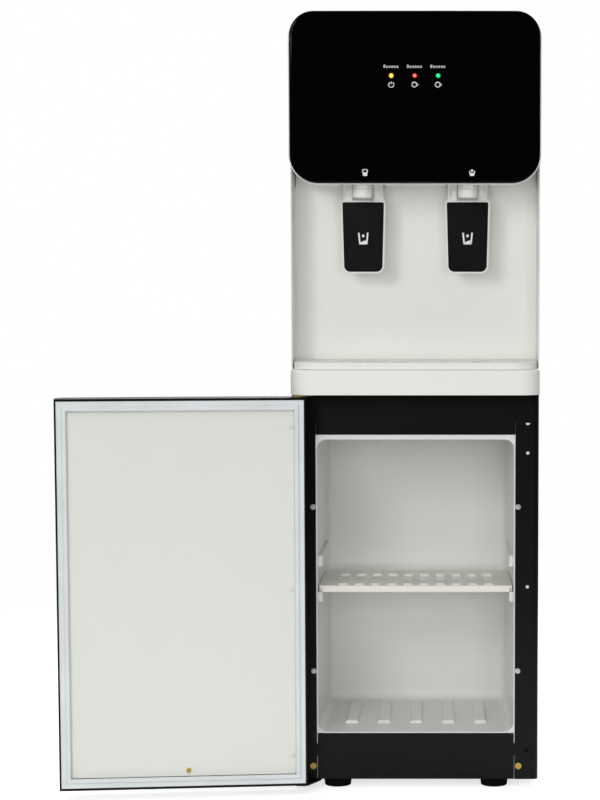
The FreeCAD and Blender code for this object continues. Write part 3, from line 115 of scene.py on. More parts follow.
# ---- shader building ----
class Graph:
    """Builds the nodes of one material or world, a call for each node."""

    def __init__(self, owner: bpy.types.Material | bpy.types.World) -> None:
        """Empty the owner's nodes.

        Args:
            owner: The material or world that they are for.
        """
        owner.use_nodes = True
        self.owner = owner
        self.tree = owner.node_tree
        self.tree.nodes.clear()

    def node(self, kind: str, settings: dict | None = None, **inputs: object) -> bpy.types.Node:
        """Add a node, set its options and fill its inputs.

        Args:
            kind: The node's type without the ShaderNode prefix.
            settings: Values for the node's own properties.
            **inputs: Input sockets by name, with _ for a space; a value or another socket.

        Returns:
            The new node.
        """
        made = self.tree.nodes.new("ShaderNode" + kind)
        for key, value in (settings or {}).items():
            setattr(made, key, value)
        for key, value in inputs.items():
            socket = made.inputs[int(key[1:])] if key[1:].isdigit() else made.inputs[
                key.replace("_", " ")]
            if isinstance(value, Socket):
                self.tree.links.new(value, socket)
            elif isinstance(value, tuple) and len(value) == 3 and len(socket.default_value) == 4:
                socket.default_value = (*value, 1.0)
            else:
                socket.default_value = value
        return made

    def coordinates(self, stretch: tuple[float, float, float] = (1, 1, 1)) -> Socket:
        """Place on the piece in metres, stretched along each axis."""
        place = self.node("TexCoord").outputs["Object"]
        return self.node("Mapping", Vector=place, Scale=stretch).outputs[0]

    def noise(self, scale: float, detail: float = 3.0, place: Socket | None = None) -> Socket:
        """Smooth noise from 0 to 1 at a number of cells per metre."""
        place = place or self.coordinates()
        return self.node("TexNoise", Vector=place, Scale=scale, Detail=detail).outputs[0]

    def cells(self, scale: float, output: str = "Distance") -> Socket:
        """Cellular noise at a number of cells per metre."""
        return self.node("TexVoronoi", Vector=self.coordinates(), Scale=scale).outputs[output]

    def remap(self, value: Socket, low: float, high: float, start: float = 0.0,
              end: float = 1.0) -> Socket:
        """Map a value from start..end to low..high, clamped."""
        return self.node("MapRange", Value=value, From_Min=start, From_Max=end, To_Min=low,
                         To_Max=high).outputs[0]

    def spread(self, noise: Socket, low: float, high: float) -> Socket:
        """Map smooth noise over its usual span to low..high, clamped."""
        return self.remap(noise, low, high, NOISE_LOW, NOISE_HIGH)

    def blend(self, factor: Socket | float, first: Colour | Socket,
              second: Colour | Socket) -> Socket:
        """Mix two colours.

        Args:
            factor: The second colour's share.
            first: The colour at a share of 0.
            second: The colour at a share of 1.

        Returns:
            The mixed colour.
        """
        made = self.node("Mix", {"data_type": "RGBA"})
        for socket, value in zip((made.inputs[0], made.inputs[6], made.inputs[7]),
                                 (factor, first, second)):
            if isinstance(value, Socket):
                self.tree.links.new(value, socket)
            else:
                socket.default_value = (*value, 1.0) if isinstance(value, tuple) else value
        return made.outputs[2]

    def bump(self, height: Socket, depth: float, normal: Socket | None = None) -> Socket:
        """Turn a height from 0 to 1 into a normal.

        Args:
            height: The height pattern.
            depth: Its full depth in metres.
            normal: A normal to bend further.

        Returns:
            The bent normal.
        """
        made = self.node("Bump", Height=height, Distance=depth, Strength=1.0)
        if normal is not None:
            self.tree.links.new(normal, made.inputs["Normal"])
        return made.outputs[0]

    def finish(self, surface: Socket) -> bpy.types.Material | bpy.types.World:
        """Send a shader to the output and return the material or world."""
        kind = "World" if isinstance(self.owner, bpy.types.World) else "Material"
        self.node("Output" + kind, Surface=surface)
        return self.owner


# ---- finishes ----
@dataclass(frozen=True)
class Finish:
    """A surface with slow drifts of colour and gloss, and a fine grain.

    Subclasses change a method for a pattern or a light of their own.
    """

    name: str
    colour: Colour
    roughness: float
    metallic: float = 0.0
    specular: float = 0.5
    drift: float = 0.03          # share of lightness that comes and goes
    drift_scale: float = 7.0     # patches per metre
    gloss_drift: float = 0.06    # roughness up and down
    grain: float = 0.02          # depth of the fine grain, millimetres
    grain_scale: float = 1400.0  # its cells per metre
    smear_scale: float = 5.0     # smears of gloss for one patch of colour

    def paint(self, graph: Graph) -> Socket:
        """Colour all over the surface.

        Args:
            graph: The material to build in.

        Returns:
            The colour.
        """
        patches = graph.spread(graph.noise(self.drift_scale), 0.0, 1.0)
        dark, light = (tinted(self.colour, 1 + drift) for drift in (-self.drift, self.drift))
        return graph.blend(patches, dark, light)

    def gloss(self, graph: Graph) -> Socket:
        """Roughness all over the surface."""
        smears = graph.noise(self.drift_scale * self.smear_scale, 4.0)
        return graph.spread(smears, self.roughness - self.gloss_drift,
                            self.roughness + self.gloss_drift)

    def relief(self, graph: Graph) -> Socket:
        """The fine grain as a bent normal."""
        return graph.bump(graph.noise(self.grain_scale, 2.0), self.grain * MM)

    def shader(self, graph: Graph) -> bpy.types.Node:
        """The main shader with its own constant settings.

        Args:
            graph: The material to build in.

        Returns:
            The shader's node.
        """
        node = graph.node("BsdfPrincipled", Base_Color=self.paint(graph),
                          Roughness=self.gloss(graph), Metallic=self.metallic,
                          Normal=self.relief(graph))
        node.inputs["Specular IOR Level"].default_value = self.specular
        return node

    def material(self) -> bpy.types.Material:
        """Build the whole material."""
        graph = Graph(bpy.data.materials.new(self.name))
        return graph.finish(self.shader(graph).outputs[0])


@dataclass(frozen=True)
class PowderCoat(Finish):
    """Baked powder on steel: orange peel, pin-sized specks and a satin sheen."""

    peel_scale: float = 420.0    # bumps per metre
    peel: float = 0.035          # their depth, millimetres
    speck_scale: float = 900.0   # cells per metre, with one speck in each
    speck_core: float = 0.05     # share of a cell that the speck fills
    speck_edge: float = 0.16     # and where it has faded out
    speck_share: float = 0.35    # how much of the lighter shade it takes on
    speck_gain: float = 1.9
    speck_lift: float = 0.003

    def paint(self, graph: Graph) -> Socket:
        """Colour with specks a shade lighter."""
        specks = graph.remap(graph.cells(self.speck_scale), self.speck_share, 0.0,
                             self.speck_core, self.speck_edge)
        lighter = tinted(self.colour, self.speck_gain, self.speck_lift)
        return graph.blend(specks, super().paint(graph), lighter)

    def relief(self, graph: Graph) -> Socket:
        """Orange peel over the fine grain."""
        return graph.bump(graph.noise(self.peel_scale, 2.0), self.peel * MM,
                          super().relief(graph))


@dataclass(frozen=True)
class Galvanised(Finish):
    """Zinc-dipped sheet with its spangle."""

    spangle_scale: float = 140.0     # crystals per metre
    darkest: float = 0.8             # share of the colour that the darkest one keeps
    gloss_drift: float = 0.1

    def crystals(self, graph: Graph, channel: int) -> Socket:
        """A value of its own from 0 to 1 for each crystal."""
        cells = graph.cells(self.spangle_scale, "Color")
        return graph.node("SeparateColor", Color=cells).outputs[channel]

    def paint(self, graph: Graph) -> Socket:
        """Crystals of slightly different greys."""
        return graph.blend(self.crystals(graph, 0), tinted(self.colour, self.darkest),
                           self.colour)

    def gloss(self, graph: Graph) -> Socket:
        """Crystals of slightly different gloss."""
        return graph.remap(self.crystals(graph, 1), self.roughness - self.gloss_drift,
                           self.roughness + self.gloss_drift)


@dataclass(frozen=True)
class VacuumFormed(Finish):
    """Smooth plastic sheet drawn over a mould, with no grain."""

    def relief(self, graph: Graph) -> Socket:
        """The surface's own normal."""
        return graph.node("NewGeometry").outputs["Normal"]


@dataclass(frozen=True)
class Drawn(Finish):
    """Metal with fine lines all one way."""

    lines: tuple[float, float, float] = (60.0, 60.0, 4000.0)     # cells per metre, each way

    def relief(self, graph: Graph) -> Socket:
        """Long thin scratches."""
        streaks = graph.noise(1.0, 3.0, graph.coordinates(self.lines))
        return graph.bump(streaks, self.grain * MM)


@dataclass(frozen=True)
class Foam(Finish):
    """Rigid foam with open cells."""

    cell_scale: float = 900.0    # cells per metre
    cell_depth: float = 0.6      # millimetres

    def relief(self, graph: Graph) -> Socket:
        """Small round cells."""
        return graph.bump(graph.cells(self.cell_scale), self.cell_depth * MM)


@dataclass(frozen=True)
class CircuitBoard(Finish):
    """Lacquered board with tracks under the lacquer."""

    track_scale: float = 300.0
    track_width: float = 0.06
    track_gain: float = 2.2
    track_lift: float = 0.01

    def paint(self, graph: Graph) -> Socket:
        """Tracks a shade lighter than the board."""
        tracks = graph.node("TexBrick", Vector=graph.coordinates(), Scale=self.track_scale,
                            Mortar_Size=self.track_width).outputs["Fac"]
        return graph.blend(tracks, self.colour,
                           tinted(self.colour, self.track_gain, self.track_lift))


@dataclass(frozen=True)
class SoftTube(Finish):
    """Cloudy hose that lets some light through."""

    clear: float = 0.35          # share of the light that passes
    ior: float = 1.41

    def shader(self, graph: Graph) -> bpy.types.Node:
        """Add the light that passes through the wall."""
        node = super().shader(graph)
        node.inputs["Transmission Weight"].default_value = self.clear
        node.inputs["IOR"].default_value = self.ior
        return node


@dataclass(frozen=True)
class LitLens(Finish):
    """A lit lamp lens, paler towards its middle, which its points carry as an attribute."""

    core: Colour = (1.0, 1.0, 1.0)
    core_start: float = 0.25     # how far in from the edge the core's colour begins
    core_full: float = 0.95      # and where nothing else is left
    strength: float = 1.0

    def shader(self, graph: Graph) -> bpy.types.Node:
        """Add the light of the lamp behind the lens.

        Args:
            graph: The material to build in.

        Returns:
            The shader's node.
        """
        node = super().shader(graph)
        middle = graph.node("Attribute", {"attribute_name": LENS_MIDDLE}).outputs["Fac"]
        share = graph.remap(middle, 0.0, 1.0, self.core_start, self.core_full)
        glow = graph.blend(share, self.colour, self.core)
        graph.tree.links.new(glow, node.inputs["Emission Color"])
        node.inputs["Emission Strength"].default_value = self.strength
        return node


FINISHES: dict[str, Finish] = {finish.name: finish for finish in (
    PowderCoat("black_steel", (0.0028, 0.0028, 0.0024), 0.38, specular=0.30, gloss_drift=0.02),
    PowderCoat("white_steel", shade(234, 235, 231), 0.4, drift=0.008, peel=0.02),
    Galvanised("galvanised", (0.56, 0.57, 0.58), 0.42, metallic=0.9),
    Finish("white_abs", shade(235, 236, 231), 0.38, drift=0.008, grain=0.010),
    Finish("black_gloss", (0.0007, 0.0007, 0.0007), 0.07, specular=0.16, drift=0.1,
           gloss_drift=0.02, grain=0.001, grain_scale=500.0),
    Finish("black_satin", shade(13, 14, 14), 0.36, specular=0.24, grain=0.015),
    VacuumFormed("liner_white", shade(225, 226, 224), 0.28, drift=0.008, drift_scale=4.0,
                 gloss_drift=0.0),
    Finish("shelf_cream", shade(232, 229, 220), 0.42, drift=0.01, grain=0.015),
    Finish("panel_cream", shade(225, 226, 220), 0.5, drift=0.008, grain=0.02),
    Finish("gasket_vinyl", shade(218, 223, 224), 0.5, drift=0.05, drift_scale=18.0, grain=0.015),
    Finish("black_rubber", (0.004, 0.004, 0.004), 0.62, specular=0.04, drift=0.2,
           drift_scale=60.0, grain=0.05, grain_scale=900.0),
    Foam("foam", shade(226, 220, 196), 0.9, drift=0.05),
    Finish("yellow_zinc", shade(224, 188, 98), 0.34, metallic=0.7, drift=0.12,
           drift_scale=120.0, grain=0.01),
    Finish("bright_zinc", shade(232, 234, 236), 0.32, metallic=0.65, drift=0.08,
           drift_scale=120.0, grain=0.01),
    Drawn("stainless", (0.55, 0.55, 0.55), 0.3, metallic=1.0, grain=0.01),
    SoftTube("silicone", shade(222, 224, 218), 0.4),
    Finish("tank_plastic", shade(228, 231, 230), 0.35, drift=0.02),
    CircuitBoard("board_green", (0.02, 0.12, 0.05), 0.3),
    Finish("nylon", shade(224, 221, 208), 0.45, drift=0.03),
    LitLens("lamp_amber", (0.78, 0.40, 0.015), 0.15, core=(1.0, 0.90, 0.45)),
    LitLens("lamp_red", (0.62, 0.004, 0.003), 0.15, core=(1.0, 0.62, 0.45)),
    LitLens("lamp_green", (0.0, 0.40, 0.10), 0.15, core=(0.10, 0.90, 0.42)),
    Finish("rocker_red", (0.42, 0.012, 0.01), 0.2, drift=0.05),
    Drawn("heater_grey", (0.42, 0.42, 0.41), 0.45, metallic=1.0, grain=0.03),
)}
PRINT_WHITE = Finish("print_white", shade(236, 237, 238), 0.55, drift=0.02, grain=0.004)
PRINT_GREY = Finish("print_grey", shade(182, 183, 184), 0.55, drift=0.02, grain=0.004)


# ---- mesh building ----
def linked(name: str, data: bpy.types.ID) -> bpy.types.Object:
    """A new object in the scene."""
    made = bpy.data.objects.new(name, data)
    bpy.context.scene.collection.objects.link(made)
    return made


class Mould:
    """Collects points and faces in millimetres and casts them as one piece."""

    def __init__(self, name: str) -> None:
        """Start an empty piece.

        Args:
            name: The piece's name.
        """
        self.name = name
        self.points: list[Vector] = []
        self.faces: list[list[int]] = []

    def loft(self, rings: list[list[Vector]]) -> None:
        """Add a skin over rings of points, with a flat face over each end.

        Args:
            rings: The rings in a row, each with as many points as the others.
        """
        size, start = len(rings[0]), len(self.points)
        self.points += [point for ring in rings for point in ring]
        firsts = [start + size * number for number in range(len(rings))]
        for first, second in zip(firsts, firsts[1:]):
            for i in range(size):
                j = (i + 1) % size
                self.faces.append([first + i, first + j, second + j, second + i])
        for first in (firsts[0], firsts[-1]):
            self.faces.append(list(range(first, first + size)))

    def prism(self, outline: list[Vector], thrust: Vector) -> None:
        """Add a flat outline pushed out along a vector.

        Args:
            outline: The outline's points, in order.
            thrust: Way and length of the push.
        """
        self.loft([outline, [point + thrust for point in outline]])

    def cast(self, slot: str, material: bpy.types.Material,
             sharp_deg: float = 35.0) -> bpy.types.Object:
        """Make the object.

        Args:
            slot: Not used.
            material: Its material.
            sharp_deg: Edges that turn more than this stay sharp.

        Returns:
            The new object, in the row frame.
        """
        mesh = bpy.data.meshes.new(self.name)
        mesh.from_pydata([tuple(point * MM) for point in self.points], [], self.faces)
        build = bmesh.new()
        build.from_mesh(mesh)
        bmesh.ops.remove_doubles(build, verts=build.verts, dist=MERGE)
        bmesh.ops.recalc_face_normals(build, faces=build.faces)
        build.to_mesh(mesh)
        build.free()
        mesh.shade_smooth()
        mesh.set_sharp_from_angle(angle=math.radians(sharp_deg))
        piece = linked(self.name, mesh)
        piece.data.materials.append(material)
        return piece


def lathe(mould: Mould, profile: list[Point2], centre: Vector, steps: int = 64,
          axis: str = "Z") -> None:
    """Add a turned shape to a mould.

    Args:
        mould: What to add it to.
        profile: Points of radius and distance along the axis, in millimetres; a radius of 0
            at an end closes it to a point.
        centre: The axis's foot in millimetres.
        steps: Sides of the circle.
        axis: "Z" for upright, or "Y" for one that runs back from the front.
    """
    rings = []
    for radius, along in profile:
        points = []
        for step in range(steps):
            angle = 2 * math.pi * step / steps
            across = Vector((radius * math.cos(angle), radius * math.sin(angle)))
            offset = (across.x, across.y, along) if axis == "Z" else (across.x, along, across.y)
            points.append(centre + Vector(offset))
        rings.append(points)
    mould.loft(rings)


def arc(centre: Point2, radius: float, start_deg: float, end_deg: float,
        steps: int = 8) -> list[Point2]:
    """Points on an arc.

    Args:
        centre: The arc's middle.
        radius: Its radius.
        start_deg: Where it starts, anticlockwise from the right.
        end_deg: Where it ends.
        steps: Straight pieces in it.

    Returns:
        The points, one more than the pieces.
    """
    angles = [math.radians(start_deg + (end_deg - start_deg) * i / steps)
              for i in range(steps + 1)]
    return [(centre[0] + radius * math.cos(a), centre[1] + radius * math.sin(a)) for a in angles]


class Dresser:
    """Gives out each finish's material, made once."""

    def __init__(self) -> None:
        """Start with no materials."""
        self._made: dict[str, bpy.types.Material] = {}

    def material(self, finish: Finish) -> bpy.types.Material:
        """The material of a finish.

        Args:
            finish: The finish.

        Returns:
            Its material, made the first time and shared after that.
        """
        if finish.name not in self._made:
            self._made[finish.name] = finish.material()
        return self._made[finish.name]

    def slot(self, name: str) -> bpy.types.Material:
        """The material of one of the record's slots."""
        return self.material(FINISHES[name])


def box_mm(node: str) -> tuple[Vector, Vector]:
    """A frame piece's lowest and highest corner in millimetres."""
    low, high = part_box(node)
    return low / MM, high / MM


def settle(piece: bpy.types.Object, body: str, *nodes: str) -> bpy.types.Object:
    """Let a piece ride on a body, and stand for frame pieces if any are named.

    Args:
        piece: The new piece.
        body: The body that it moves with.
        *nodes: Frame pieces that it replaces.

    Returns:
        The piece.
    """
    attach(piece, body)
    if nodes:
        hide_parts(*nodes)
    LOG.info("%s rides on %s", piece.name, body)
    return piece


# ---- printed signs ----
class Sign(Enum):
    """Signs that are printed on the front."""

    POWER = "power"
    MUG = "mug"
    TUMBLER = "tumbler"
    FILLING = "filling"
    STEAMING = "steaming"


def stroke(points: list[Point2], width: float) -> list[list[Point2]]:
    """Outlines of straight strokes of one width.

    Args:
        points: The line's corners.
        width: The strokes' width.

    Returns:
        One four-sided outline for each run between corners.
    """
    outlines = []
    for start, end in zip(points, points[1:]):
        run = Vector(end) - Vector(start)
        side = Vector((-run.y, run.x)).normalized() * width / 2
        tip = run.normalized() * width * STROKE_OVERRUN
        first, last = Vector(start) - tip, Vector(end) + tip
        outlines.append([tuple(first + side), tuple(first - side), tuple(last - side),
                         tuple(last + side)])
    return outlines


def disc(centre: Point2, radius: float) -> list[Point2]:
    """A round outline."""
    return arc(centre, radius, 0, 345, 23)


SIGN_SHAPES: dict[Sign, list[list[Point2]]] = {
    Sign.POWER: stroke(arc((0, 0), 3.2, 130, 410, 18), 1.05) + stroke([(0, 0.9), (0, 3.4)], 1.0),
    Sign.MUG: stroke(arc((-0.5, 0), 2.9, 0, 360, 20), 1.25)
    + stroke(arc((2.6, 0), 1.3, -85, 85, 8), 0.9),
    Sign.TUMBLER: stroke([(-2.9, 3.1), (-2.4, 3.9), (2.4, 3.9), (2.9, 3.1)], 0.9)
    + stroke([(-3.0, 3.2), (-2.0, -3.5)], 1.1) + stroke([(3.0, 3.2), (2.0, -3.5)], 1.1)
    + [[(-2.5, 0.6), (-1.9, -3.9), (1.9, -3.9), (2.5, 0.6), (1.6, 0.9), (0.8, 0.2),
        (-0.8, 0.2), (-1.6, 0.9)]],
    Sign.STEAMING: stroke([(-3.2, 1.9), (-2.0, -3.6)], 1.1) + stroke([(3.2, 1.9), (2.0, -3.6)], 1.1)
    + [[(-2.6, 0.2), (-1.9, -4.0), (1.9, -4.0), (2.6, 0.2), (1.6, 0.3), (0.8, -0.4),
        (-0.8, -0.4), (-1.6, 0.3)]]
    + [disc((0, 2.6), 1.5)],
    Sign.FILLING: stroke([(-5.6, 6.6), (-4.3, -6.4)], 2.0) + stroke([(5.6, 6.6), (4.3, -6.4)], 2.0)
    + [[(-5.2, -3.9), (-4.9, -7.4), (4.9, -7.4), (5.2, -3.0), (3.0, -2.5), (1.2, -2.7),
        (-0.6, -3.6), (-2.4, -4.3)]]
    + [[(x * 0.78, y + 3.2) for x, y in disc((0, 0), 1.9)]],
}


class Printer:
    """Prints signs on the front of a frame piece, on its real surface."""

    film_mm = 0.06                # ink over the surface
    sunk_mm = 0.02                # and under it
    start_mm = -1000.0            # Y in front of every piece

    def __init__(self, node: bpy.types.Object) -> None:
        """Read the surface that takes the print.

        Args:
            node: The frame piece.
        """
        graph = bpy.context.evaluated_depsgraph_get()
        self.tree = BVHTree.FromObject(node, graph)

    def surface_mm(self, x: float, z: float) -> float:
        """Find the surface.

        Args:
            x: Where to look, in millimetres.
            z: Where to look, in millimetres.

        Returns:
            The surface's Y in millimetres.
        """
        start = Vector((x * MM, self.start_mm * MM, z * MM))
        hit = self.tree.ray_cast(start, Vector((0, 1, 0)))[0]
        if hit is None:
            raise ValueError(f"no surface at {x:.1f}, {z:.1f}")
        return hit.y / MM

    def press(self, mould: Mould, outlines: list[list[Point2]], x: float, z: float) -> None:
        """Add the outlines to a mould as a thin film of ink.

        Args:
            mould: What to add them to.
            outlines: Flat outlines about the sign's middle, in millimetres.
            x: The sign's middle.
            z: The sign's middle.
        """
        for outline in outlines:
            points = []
            for across, up in outline:
                px, pz = x + across, z + up
                points.append(Vector((px, self.surface_mm(px, pz) + self.sunk_mm, pz)))
            mould.prism(points, Vector((0, -self.film_mm - self.sunk_mm, 0)))


# ---- door ----
@dataclass(frozen=True)
class Swing:
    """How the door stands: turned open about its hinge from where it shuts."""

    hinge: Vector                 # joint's place, millimetres
    open_deg: float = 174.0

    def turned(self, points: list[Vector], degrees: float) -> list[Vector]:
        """Turn points about the hinge.

        Args:
            points: The points, in millimetres.
            degrees: The turn, anticlockwise from above.

        Returns:
            The points where they end up.
        """
        turn = Matrix.Rotation(math.radians(degrees), 4, "Z")
        pivot = Vector((self.hinge.x, self.hinge.y, 0))
        return [turn @ (point - pivot) + pivot for point in points]

    def opened(self, points: list[Vector]) -> list[Vector]:
        """Points of the shut door, moved to where it stands."""
        return self.turned(points, -self.open_deg)

    def shut(self, points: list[Vector]) -> list[Vector]:
        """Points of the door as it stands, moved to where it shuts."""
        return self.turned(points, self.open_deg)


def clumps(node: bpy.types.Object, reach_mm: float) -> list[list[Vector]]:
    """Group a piece's points, in millimetres, round places that lie apart.

    Args:
        node: The piece.
        reach_mm: Points nearer than this to a group's first point join it.

    Returns:
        The groups, from the lowest up.
    """
    groups: list[list[Vector]] = []
    for vertex in node.data.vertices:
        point = (node.matrix_world @ vertex.co) / MM
        for group in groups:
            if (group[0] - point).length < reach_mm:
                group.append(point)
                break
        else:
            groups.append([point])
    return sorted(groups, key=lambda group: sum(p.z for p in group) / len(group))


@dataclass
class DoorScrews:
    """Painted screws down the hinge side of the door's inner face, and a zinc one below."""

    dresser: Dresser
    swing: Swing
    node: bpy.types.Object
    head_radius: float = 3.3
    head_height: float = 2.0
    socket_radius: float = 0.9
    zinc_socket_radius: float = 1.2
    reach: float = 14.0           # no screw's points lie further apart

    def head(self, mould: Mould, middle: Vector, top: float, hollow: float) -> None:
        """A domed head with a round socket, on the shut door.

        Args:
            mould: What to add it to.
            middle: The screw's axis.
            top: Y of the head's face.
            hollow: The socket's radius.
        """
        base, r = top - self.head_height, self.head_radius
        profile = [(0.0, base + 0.3), (hollow * 0.8, base + 0.35), (hollow, top - 0.25),
                   (hollow + 0.25, top - 0.05), (r * 0.6, top - 0.12), (r * 0.82, top - 0.45),
                   (r * 0.96, top - 1.05), (r, base + 0.25), (r, base), (0.0, base)]
        lathe(mould, profile, Vector((middle.x, 0, middle.z)), 40, "Y")

    def build(self) -> None:
        """Make the painted heads as one piece and the zinc one as another."""
        painted, zinc = Mould("door_screw_caps"), Mould("door_zinc_screw")
        for number, group in enumerate(clumps(self.node, self.reach)):
            points = self.swing.shut(group)
            low, high = (Vector([pick(p[axis] for p in points) for axis in range(3)])
                         for pick in (min, max))
            mould, hollow = ((painted, self.socket_radius) if number
                             else (zinc, self.zinc_socket_radius))
            self.head(mould, (low + high) / 2, high.y, hollow)
        for mould, slot, nodes in ((painted, "panel_cream", ("door_screws",)),
                                   (zinc, "yellow_zinc", ())):
            mould.points = self.swing.opened(mould.points)
            settle(mould.cast(slot, self.dresser.slot(slot), 40.0), "door", *nodes)


@dataclass
class DoorSeal:
    """Magnetic vinyl seal round the door's inner face, in four mitred lengths."""

    dresser: Dresser
    swing: Swing
    half_width: float = 154.0
    rear_y: float = -153.0        # rear edge of the shut door
    inset: float = 2.4            # from the door's edge
    mitre_gap: float = 0.14
    mitre_drop: float = 0.22      # depth of the line that shows at each mitre
    depth: float = 2.9            # under the door's rear edge

    def profile(self) -> list[Point2]:
        """Draw the seal's section.

        Returns:
            Its points of distance in from the outer edge and height over the door's rear edge.
        """
        foot = -self.depth
        return [(0.0, foot), (0.0, 0.25), (0.25, 0.6), (0.8, 0.68), (1.5, 0.3), (2.1, 0.18),
                (4.6, 0.3), (5.4, 0.62), (5.9, 0.5), (6.25, 0.9), (6.4, 1.7), (6.75, 2.3),
                (7.4, 2.62), (8.4, 2.68), (9.0, 2.5), (9.35, 2.5), (9.9, 2.68), (11.0, 2.62),
                (11.65, 2.3), (12.0, 1.6), (12.1, 0.6), (12.1, foot)]

    def corners(self, across: float) -> list[Vector]:
        """Find the seal's corners on the shut door.

        Args:
            across: Distance in from the seal's outer edge.

        Returns:
            The four corners, from the bottom left one round.
        """
        low, high = (corner.z for corner in box_mm("door_gasket"))
        x = self.half_width - self.inset - across
        return [Vector((-x, 0, low + across)), Vector((x, 0, low + across)),
                Vector((x, 0, high - across)), Vector((-x, 0, high - across))]

    def length(self, mould: Mould, side: int, shrink: float, drop: float) -> None:
        """One length of the seal, from mitre to mitre.

        Args:
            mould: What to add it to.
            side: Number of the side, from the bottom one round.
            shrink: How far each end stops short of the mitre.
            drop: How far the whole face lies below the seal's face.
        """
        rings = []
        for end in (0, 1):
            points = []
            for across, height in self.profile():
                corner = self.corners(across)
                start, stop = corner[side], corner[(side + 1) % 4]
                along = (stop - start).normalized() * shrink
                place = (start + along) if end == 0 else (stop - along)
                level = min(height, max(height - drop, -self.depth))
                points.append(Vector((place.x, self.rear_y + level, place.z)))
            rings.append(points)
        mould.loft(rings)

    def build(self) -> bpy.types.Object:
        """Make the seal on the shut door and swing it to where the door stands.

        Returns:
            The seal.
        """
        mould = Mould("door_seal")
        for side in range(4):
            self.length(mould, side, self.mitre_gap, 0.0)
            self.length(mould, side, 0.0, self.mitre_drop)
        mould.points = self.swing.opened(mould.points)
        piece = mould.cast("gasket_vinyl", self.dresser.slot("gasket_vinyl"), 50.0)
        return settle(piece, "door", "door_gasket")


# ---- feet ----
@dataclass
class Feet:
    """Four moulded rubber feet, a little narrower at the floor, with a hollow sole."""

    dresser: Dresser
    radius: float = 18.0
    taper: float = 1.2
    height: float = 11.5
    edge: float = 1.5             # round at the floor
    sole_depth: float = 1.4
    sole_rim: float = 4.6
    groove_drop: float = 1.6      # groove's lower side under the foot's top
    groove_depth: float = 0.7

    def profile(self) -> list[Point2]:
        """Work out the half section of one foot.

        Returns:
            Its points of radius and height, from the floor up.
        """
        low, high, groove = self.radius - self.taper, self.height, self.radius - self.groove_depth
        lip = high - self.groove_drop
        return [(0.0, self.sole_depth), (low - self.sole_rim - 0.8, self.sole_depth),
                (low - self.sole_rim, 0.0), (low - self.edge, 0.0),
                *arc((low - self.edge, self.edge), self.edge, -80, 0, 5),
                (self.radius - 0.25, lip), (groove, lip + 0.15), (groove, lip + 0.45),
                (self.radius - 0.1, lip + 0.6), (self.radius, high - 0.5),
                (self.radius - 0.5, high), (0.0, high)]

    def build(self) -> bpy.types.Object:
        """Make all four feet as one piece.

        Returns:
            The feet.
        """
        low, high = box_mm("feet")
        mould = Mould("rubber_feet")
        places = [(x, y) for x in (low.x + self.radius, high.x - self.radius)
                  for y in (low.y + self.radius, high.y - self.radius)]
        for x, y in places:
            lathe(mould, self.profile(), Vector((x, y, 0)), 72)
        piece = mould.cast("black_rubber", self.dresser.slot("black_rubber"), 50.0)
        return settle(piece, "cabinet", "feet")


